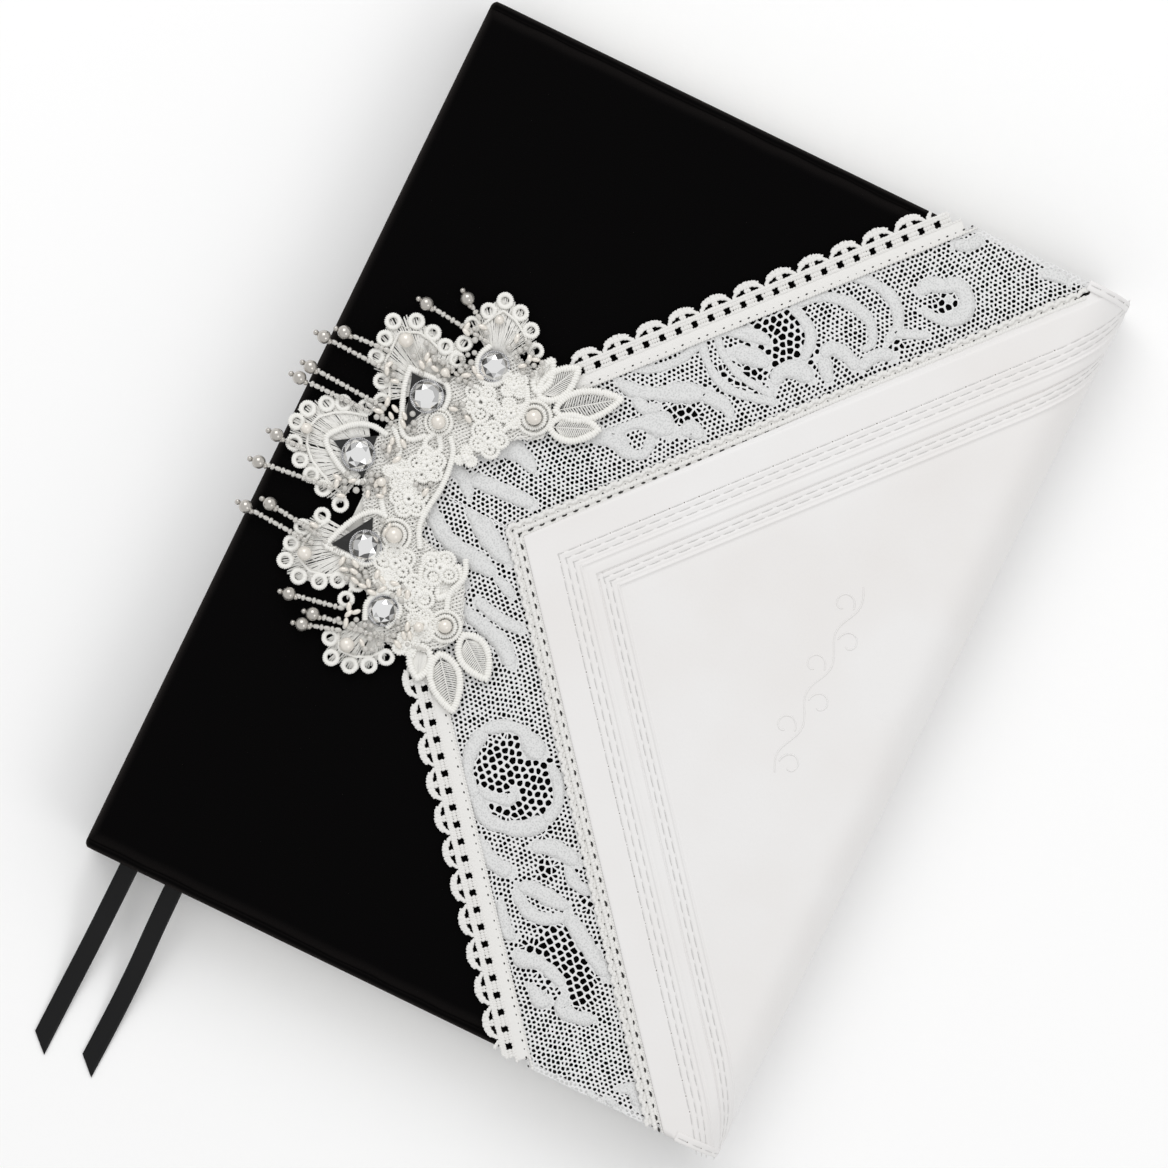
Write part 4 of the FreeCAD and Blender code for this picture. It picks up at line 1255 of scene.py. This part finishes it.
frame_lines = [
    [(-60.2, 7.4), (-64, 7.8), (-68, 6.2), (-71.8, 2.2), (-72.4, 0.6), (-71, -1.2), (-66.5, -4),
     (-62, -5.6), (-60, -4.4)],
    [(-62.0, 24.0), (-61.4, 19.5), (-59.4, 14), (-57.6, 10), (-55.0, 8.6), (-52, 11)],
    [(-62.0, 23.6), (-57, 23.8), (-53, 24.0), (-51.0, 21.5), (-50.8, 18.2)],
    [(-61.8, -21.8), (-59.8, -16.4), (-57.4, -12.0), (-54.4, -9.6), (-52, -9.8)],
    [(-61.4, -22.0), (-56.2, -21.8), (-51.2, -21.6), (-49.4, -18)],
    [(-47.6, 36.2), (-48.8, 33), (-47.6, 29.6), (-45, 27.9), (-42, 29.4), (-41, 33)],
    [(-46, -33.2), (-47.2, -29.6), (-45.4, -26), (-41.6, -25.6), (-39.4, -28.6), (-40.6, -32.6)],
    [(-46.6, 13.2), (-44.6, 10.6), (-43.6, 6.0), (-43.5, 1.4), (-44.2, -4), (-44.0, -8.6), (-41.8, -12.8)],
    [(-59.4, 9.6), (-56.4, 6.4), (-55.4, 3.2), (-55.8, -1.6), (-54.8, -6.4), (-52.4, -9.6)],
    [(-49.0, 12.2), (-47.4, 9.6), (-49.4, 7.6), (-51.4, 9.6), (-50.4, 12.4)],
    [(-36.2, 20.0), (-34.6, 23.4), (-34.0, 27.8), (-35.8, 31.4)], [(-31, -10.8), (-29.6, -14.6),
                                                                   (-31, -19), (-30, -23)],
]


def smoothed(line, z):
    """A smooth line at one height through a few places."""
    return [(x, y, z) for x, y, half in stroke_line([(x, y, 1.0) for x, y in line])]


frames = in_a_row("stone_frames", [smoothed(line, net_level + 0.7) for line in frame_lines],
                  bead_shape(0.8, 1.75, 1.4, 7, 4), 0.52, cord_silk, 0.9, 0.1, 0.1, 43)
flower_places = [(-38.6, 16.8, 4.6, 5), (-43.8, 23.6, 4.8, 5), (-31.2, 25.8, 4.6, 0), (-49.0, -3.8, 4.6, 5),
                 (-48.6, 5.0, 4.4, 5), (-35.6, -15.0, 4.6, 4), (-45.4, -18.6, 4.8, 5),
                 (-48.4, -12.8, 4.4, 0),
                 (-28.6, -26.6, 4.2, 0), (-38.0, -22.6, 4.4, 5), (-33.4, -28.6, 4.0, 5),
                 (-36.4, 24.4, 3.8, 4),
                 (-53.8, 0.4, 3.6, 4), (-41.4, 10.6, 2.6, 3), (-45.6, -23.4, 3.0, 4), (-38.6, 30.4, 3.4, 4),
                 (-34.8, -34.4, 3.2, 4), (-50.6, 15.2, 3.6, 0)]
loops = []
knots = []
for x, y, radius, petals in flower_places:
    lift = net_level + 0.6
    if petals == 0:
        loops.append(ring(x, y, radius * 0.84, lift))
        loops.append(ring(x, y, radius * 0.55, lift + 0.25))
        continue
    begin = dice.uniform(0, 6)
    for petal in range(petals):
        way = begin + 2 * math.pi * petal / petals
        size = radius * dice.uniform(0.36, 0.46)
        loops.append(ring(x + radius * 0.56 * math.cos(way), y + radius * 0.56 * math.sin(way), size,
                          lift + dice.uniform(0, 0.5), 18, way, dice.uniform(0.75, 1.0)))
        loops.append(ring(x + radius * 0.56 * math.cos(way), y + radius * 0.56 * math.sin(way),
                          size * 0.42, lift + 0.15, 10, way))
        knots.append([(x + radius * 0.56 * math.cos(way + turn),
                       y + radius * 0.56 * math.sin(way + turn), lift - 0.05)
                      for turn in (-0.25, 0.0, 0.25)])
    knots.append(ring(x, y, radius * 0.2, lift + 0.5, 10))
flower_cord = in_a_row("flower_cord", loops, light_turn, 0.5, cord_silk, 0.8, 0.15, 0.2, 44)
flower_knots = in_a_row("flower_knots", knots, bead_shape(1.2, 1.6, 1.1, 6, 4), 0.7, cord_silk, 0.6,
                        0.3, 1.2, 45)
ground_outline = [(-61, 10), (-62.5, 4), (-61, -4), (-58, -10), (-53, -19), (-47, -30), (-43, -36),
                  (-34, -36.5),
                  (-26, -31), (-25, -24), (-30, -13), (-38, -11.5), (-42.6, -10), (-43.4, -4),
                  (-43.6, 4), (-44, 10),
                  (-37, 12.8), (-33, 19), (-27, 22), (-27.5, 29), (-34, 35), (-41, 37.5), (-48, 35),
                  (-52, 27),
                  (-56, 16)]
ground_threads = []
for pass_number, turn in enumerate((0.4, 1.3, 2.4)):
    across = (math.cos(turn), math.sin(turn))
    along = (-across[1], across[0])
    offset = -60.0
    while offset < 60:
        run = []
        for step in range(-140, 141):
            t = step * 0.5
            x = -44 + across[0] * offset + along[0] * t + 0.3 * math.sin(t * 1.7 + offset)
            y = across[1] * offset + along[1] * t + 0.3 * math.cos(t * 1.3 + offset)
            hits = sum((a[1] > y) != (b[1] > y)
                       and x < (b[0] - a[0]) * (y - a[1]) / (b[1] - a[1]) + a[0]
                       for a, b in zip(ground_outline, ground_outline[1:] + ground_outline[:1]))
            if hits % 2:
                run.append((x, y, net_level - 0.15 + 0.16 * pass_number))
            else:
                if len(run) > 2:
                    ground_threads.append(run[::3] + [run[-1]])
                run = []
        offset += 0.8 if pass_number else 0.62
ground = fine_threads("ground_threads", ground_threads, 0.24, net_thread)
flowers = join_pieces("corded_flowers", [flower_cord, flower_knots, frames, ground])
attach(flowers, "flap")
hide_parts("cord_flowers")

# Five cut crystals with silvered backs, each in a bright cup. The bright, grey and dark tones of the
# facets are painted reflections. The triangular frames have a slip of dark foil behind the stone.
silver_cup = bumpy_finish("bright_cup", (0.62, 0.62, 0.63), 0.22, "Noise", 1500, 0.00003,
                          Metallic=1.0)
# Painted reflections: three mirror colours, bright, grey and dark, for the facets.
painted_reflection_facets = [new_finish("crystal_painted_reflection_bright", (0.97, 0.97, 0.97), 0.03, Metallic=0.9, Coat_Weight=1.0),
          new_finish("crystal_painted_reflection_grey", (0.60, 0.60, 0.60), 0.04, Metallic=0.9, Coat_Weight=1.0),
          new_finish("crystal_painted_reflection_dark", (0.12, 0.12, 0.12), 0.05, Metallic=0.9, Coat_Weight=1.0)]
for facet in painted_reflection_facets:
    raise_by(facet, pattern(facet, "ShaderNodeTexVoronoi", 260), 0.00006, 0.35)
crystal_places = [(-44.6, 32.4, 3.4), (-55.6, 19.4, 3.7), (-64.0, 0.4, 3.7), (-53.2, -18.0, 3.6),
                  (-43.0, -29.6, 3.4)]
stone_low = net_level + 1.0
cup_parts = []
stone_points = []
stone_faces = []
painted_reflection_choice = []
for number, (x, y, radius) in enumerate(crystal_places):
    cup_parts.append(ring(x, y, radius + 0.12, stone_low - 0.1, 30))
    turn = 0.35 * number
    levels = [(radius * 0.98, stone_low - 0.5, 8, 0.0), (radius, stone_low, 16, 0.0),
              (radius * 0.8, stone_low + 1.1, 8, 0.5), (radius * 0.5, stone_low + 1.75, 8, 0.0)]
    rings = []
    for size, z, sides, shift in levels:
        rings.append(len(stone_points))
        for step in range(sides):
            way = turn + 2 * math.pi * (step + shift) / sides
            stone_points.append(Vector((x + size * math.cos(way), y + size * math.sin(way), z)) * mm)
    low, girdle, crown, table_ring = rings
    new_faces = []
    for step in range(8):
        after = (step + 1) % 8
        g0, g1, g2 = (girdle + 2 * step, girdle + 2 * step + 1, girdle + (2 * step + 2) % 16)
        new_faces += [(low + step, low + after, g2, g1, g0), (g0, g1, crown + step),
                      (g1, g2, crown + step), (crown + step, table_ring + after, table_ring + step),
                      (crown + step, g2, crown + after),
                      (crown + step, crown + after, table_ring + after)]
    new_faces.append(tuple(table_ring + step for step in range(8)))
    new_faces.append(tuple(low + step for step in reversed(range(8))))
    for face in new_faces:
        # Painted reflection: each facet picks a bright, grey or dark mirror colour at random; the table
        # stays bright.
        painted_reflection_choice.append(dice.choice([0, 0, 1, 1, 2]) if face[0] != table_ring else 0)
    stone_faces += new_faces
stones = new_piece("cut_crystals", stone_points, stone_faces, painted_reflection_facets[0], smooth=False)
stones.data.materials.append(painted_reflection_facets[1])
stones.data.materials.append(painted_reflection_facets[2])
stones.data.polygons.foreach_set("material_index", painted_reflection_choice[:len(stones.data.polygons)])
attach(stones, "flap")
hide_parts("crystals")
cups = in_a_row("crystal_cups_bright", cup_parts, bead_shape(0.5, 0.55, 0.9, 6, 4), 0.42,
                silver_cup, 0.9)
foil_shapes = [[(-70.6, 0.8), (-62.0, 6.2), (-60.6, -4.2)], [(-61.0, 22.8), (-57.2, 10.6), (-51.8, 22.6)],
               [(-60.6, -21.0), (-54.6, -11.2), (-50.6, -20.8)]]
foil_points = []
foil_faces = []
for corners in foil_shapes:
    first = len(foil_points)
    foil_points += [Vector((x, y, net_level + z)) * mm for z in (0.1, 0.55) for x, y in corners]
    foil_faces += [(first, first + 2, first + 1), (first + 3, first + 4, first + 5)]
    foil_faces += [(first + a, first + b, first + 3 + b, first + 3 + a) for a, b in ((0, 1), (1, 2),
                                                                                     (2, 0))]
foil_dark = bumpy_finish("foil_slip", (0.045, 0.045, 0.045), 0.3, "Noise", 700, 0.0002,
                         Metallic=0.9)
foil = new_piece("foil_slips", foil_points, foil_faces, foil_dark, smooth=False)
face_outwards(foil)
cups = join_pieces("crystal_settings", [cups, foil])
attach(cups, "flap")
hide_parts("crystal_cups")

# Round pearls sit on rings of cord, and seed beads and rice pearls fill every gap round the
# stones. Thirteen strands of seeds and bugles reach over the edge, each ended by a silvered pearl,
# and four more lie between the fans.
pearl_lustre = bumpy_finish("pearl_lustre", (0.80, 0.755, 0.69), 0.2, "Noise", 400, 0.00003,
                            Coat_Weight=0.7, Metallic=0.15)
silver_pearl = bumpy_finish("silver_pearl", (0.50, 0.475, 0.44), 0.17, "Noise", 400, 0.00003,
                            Metallic=0.65, Coat_Weight=0.8)
seed_glass = bumpy_finish("seed_glass", (0.70, 0.68, 0.64), 0.12, "Noise", 900, 0.00003,
                          Coat_Weight=1.0, Transmission_Weight=0.25)
pearl_places = [(-65.6, 29.0, 1.8, 0.9), (-50.6, 15.2, 1.7, 1.6), (-31.2, 25.8, 1.8, 1.3),
                (-48.4, -12.8, 1.9, 1.5),
                (-65.2, -25.6, 1.7, 0.9), (-47.2, -40.4, 1.8, 0.9), (-28.6, -26.6, 1.6, 1.3),
                (-48.2, 42.6, 1.1, 0.6),
                (-77.4, 0.6, 1.3, 0.6), (-54.2, 26.2, 1.1, 1.2), (-56.4, -3.0, 1.1, 1.4),
                (-34.0, -29.4, 1.2, 1.7)]


def balls(name, places, finish, around=20, rings=12):
    """Round beads of given places and radii as one piece."""
    points = []
    faces = []
    for x, y, radius, z in places:
        first = len(points)
        for level in range(1, rings):
            tilt = math.pi * level / rings
            for step in range(around):
                turn = 2 * math.pi * step / around
                points.append(Vector((x + radius * math.sin(tilt) * math.cos(turn),
                                      y + radius * math.sin(tilt) * math.sin(turn),
                                      z + radius * math.cos(tilt))) * mm)
        top = len(points)
        points.append(Vector((x, y, z + radius)) * mm)
        points.append(Vector((x, y, z - radius)) * mm)
        for level in range(rings - 2):
            for step in range(around):
                a = first + level * around + step
                b = first + level * around + (step + 1) % around
                faces.append((a, a + around, b + around, b))
        last = first + (rings - 2) * around
        for step in range(around):
            after = (step + 1) % around
            faces.append((first + step, first + after, top))
            faces.append((last + after, last + step, top + 1))
    return new_piece(name, points, faces, finish)


pearls = balls("round_pearls", [(x, y, r, net_level + lift + r * 0.6) for x, y, r, lift in pearl_places],
               pearl_lustre)
strand_places = [((-52.4, 40.8), (-57, 43.8)), ((-48.4, 36.8), (-65, 38.6)), ((-68, 25), (-79.2, 24.4)),
                 ((-66.8, 20.8), (-83, 21.4)), ((-63.6, 12.8), (-82.8, 13.8)), ((-66, 10.4), (-84, 10.4)),
                 ((-75.6, -4), (-83, -3.8)), ((-66, -9.2), (-84, -11.2)), ((-63.6, -20.4), (-77.4, -18.8)),
                 ((-66, -22.8), (-82.2, -21.8)), ((-51.6, -33.2), (-64.4, -35.6)), ((-45.2, -35.6),
                                                                                    (-57.4, -37.4)),
                 ((-50, -38), (-58.6, -40.6)), ((-30, -33.6), (-50, -36.8)), ((-46, 25.8), (-58, 28.4)),
                 ((-50, -23.4), (-62.6, -21.0)), ((-58.6, 9.8), (-67.6, 12.0))]
hanging = 13
bugle_pitch = 2.55
bugle_lines = []
seed_lines = []
end_pearls = []
stop_beads = []
for number, (root, end) in enumerate(strand_places):
    length = math.dist(root, end)
    ux, uy = (end[0] - root[0]) / length, (end[1] - root[1]) / length
    strand_z = net_level + 0.75
    usable = length - (1.8 if number < hanging else 0)
    spots = [0.6 + bugle_pitch * n for n in range(int((usable - 1) / bugle_pitch) + 1)]
    for spot in spots:
        bugle_lines.append([(root[0] + ux * spot, root[1] + uy * spot, strand_z),
                            (root[0] + ux * (spot + 0.1), root[1] + uy * (spot + 0.1), strand_z)])
        seed = spot + 1.28
        if seed < usable:
            seed_lines.append([(root[0] + ux * seed, root[1] + uy * seed, strand_z),
                               (root[0] + ux * (seed + 0.1), root[1] + uy * (seed + 0.1), strand_z)])
    if number < hanging:
        end_pearls.append((*end, 1.65, strand_z + 0.45))
        stop_beads.append((end[0] + ux * 2.15, end[1] + uy * 2.15, 0.7, strand_z + 0.1))
        stop_beads.append((end[0] - ux * 1.7 - uy * 0.35, end[1] - uy * 1.7 + ux * 0.35, 0.7,
                           strand_z + 0.2))
bugles = in_a_row("strand_bugles", bugle_lines, bead_shape(1.9, 1.3, 1.3, 8, 3), 5.0, seed_glass, 0.85)
strand_seeds = in_a_row("strand_seeds", seed_lines, bead_shape(1.0, 1.6, 1.6, 8, 4), 5.0,
                        seed_glass, 0.9)
thread_core = fine_threads("strand_threads", [[(*root, net_level + 0.75), (*end, net_level + 0.9)]
                                              for root, end in strand_places], 0.16, net_thread)
strands = join_pieces("beaded_strands", [bugles, strand_seeds, thread_core])
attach(strands, "flap")
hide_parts("fringe_strands")
ends = join_pieces("strand_pearls", [balls("strand_end_pearls", end_pearls, silver_pearl, 16, 10),
                                     balls("strand_stop_beads", stop_beads, silver_pearl, 10, 6)])
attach(ends, "flap")
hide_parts("fringe_pearls")

clusters = [(-36.8, 36.2, 3.0, 9), (-40.6, 38.6, 3.0, 8), (-50.0, 29.6, 4.0, 12), (-56.6, 26.0, 3.5, 9),
            (-47.0, 18.8, 2.6, 6),
            (-57.4, 5.0, 2.8, 10), (-57.4, -4.4, 3.0, 12), (-63.2, -7.2, 3.2, 8), (-56.4, 12.4, 2.2, 6),
            (-53.6, -24.2, 3.2, 9),
            (-47.8, -25.6, 2.8, 8), (-37.0, -33.2, 3.2, 9), (-43.0, -36.0, 3.4, 9), (-41.6, -24.0, 2.4, 6),
            (-60.0, 27.6, 3.0, 7), (-66.0, 20.0, 2.4, 6), (-52.0, 38.0, 2.6, 6), (-62.6, 12.2, 2.6, 7),
            (-66.2, -20.8, 2.4, 5), (-49.6, -34.0, 3.0, 7), (-47.6, 0.4, 2.0, 4), (-51.6, -12.6, 2.0, 4)]
seeds_scattered = []
rice_lines = []
for x, y, spread, number in clusters:
    placed = []
    for _ in range(number * 6):
        if len(placed) >= number:
            break
        way, reach = dice.uniform(0, 6.28), spread * math.sqrt(dice.random())
        px, py = x + reach * math.cos(way), y + reach * math.sin(way)
        if any(math.hypot(px - a, py - b) < 1.35 for a, b in placed):
            continue
        if any(math.hypot(px - a, py - b) < r + 0.6 for a, b, r in crystal_places):
            continue
        placed.append((px, py))
        if dice.random() < 0.4:
            turn = dice.uniform(0, 3.14)
            rice_lines.append([(px, py, net_level + 1.3), (px + 0.1 * math.cos(turn),
                                                          py + 0.1 * math.sin(turn), net_level + 1.3)])
        else:
            seeds_scattered.append((px, py, dice.uniform(0.6, 0.85), net_level + 1.2))
rice = in_a_row("rice_pearls", rice_lines, bead_shape(2.5, 1.35, 1.3, 10, 6), 5.0, pearl_lustre, 0.8)
loose_seeds = balls("loose_seeds", seeds_scattered, seed_glass, 10, 6)
pearls = join_pieces("sewn_pearls", [pearls, rice, loose_seeds])
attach(pearls, "flap")
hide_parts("pearls")
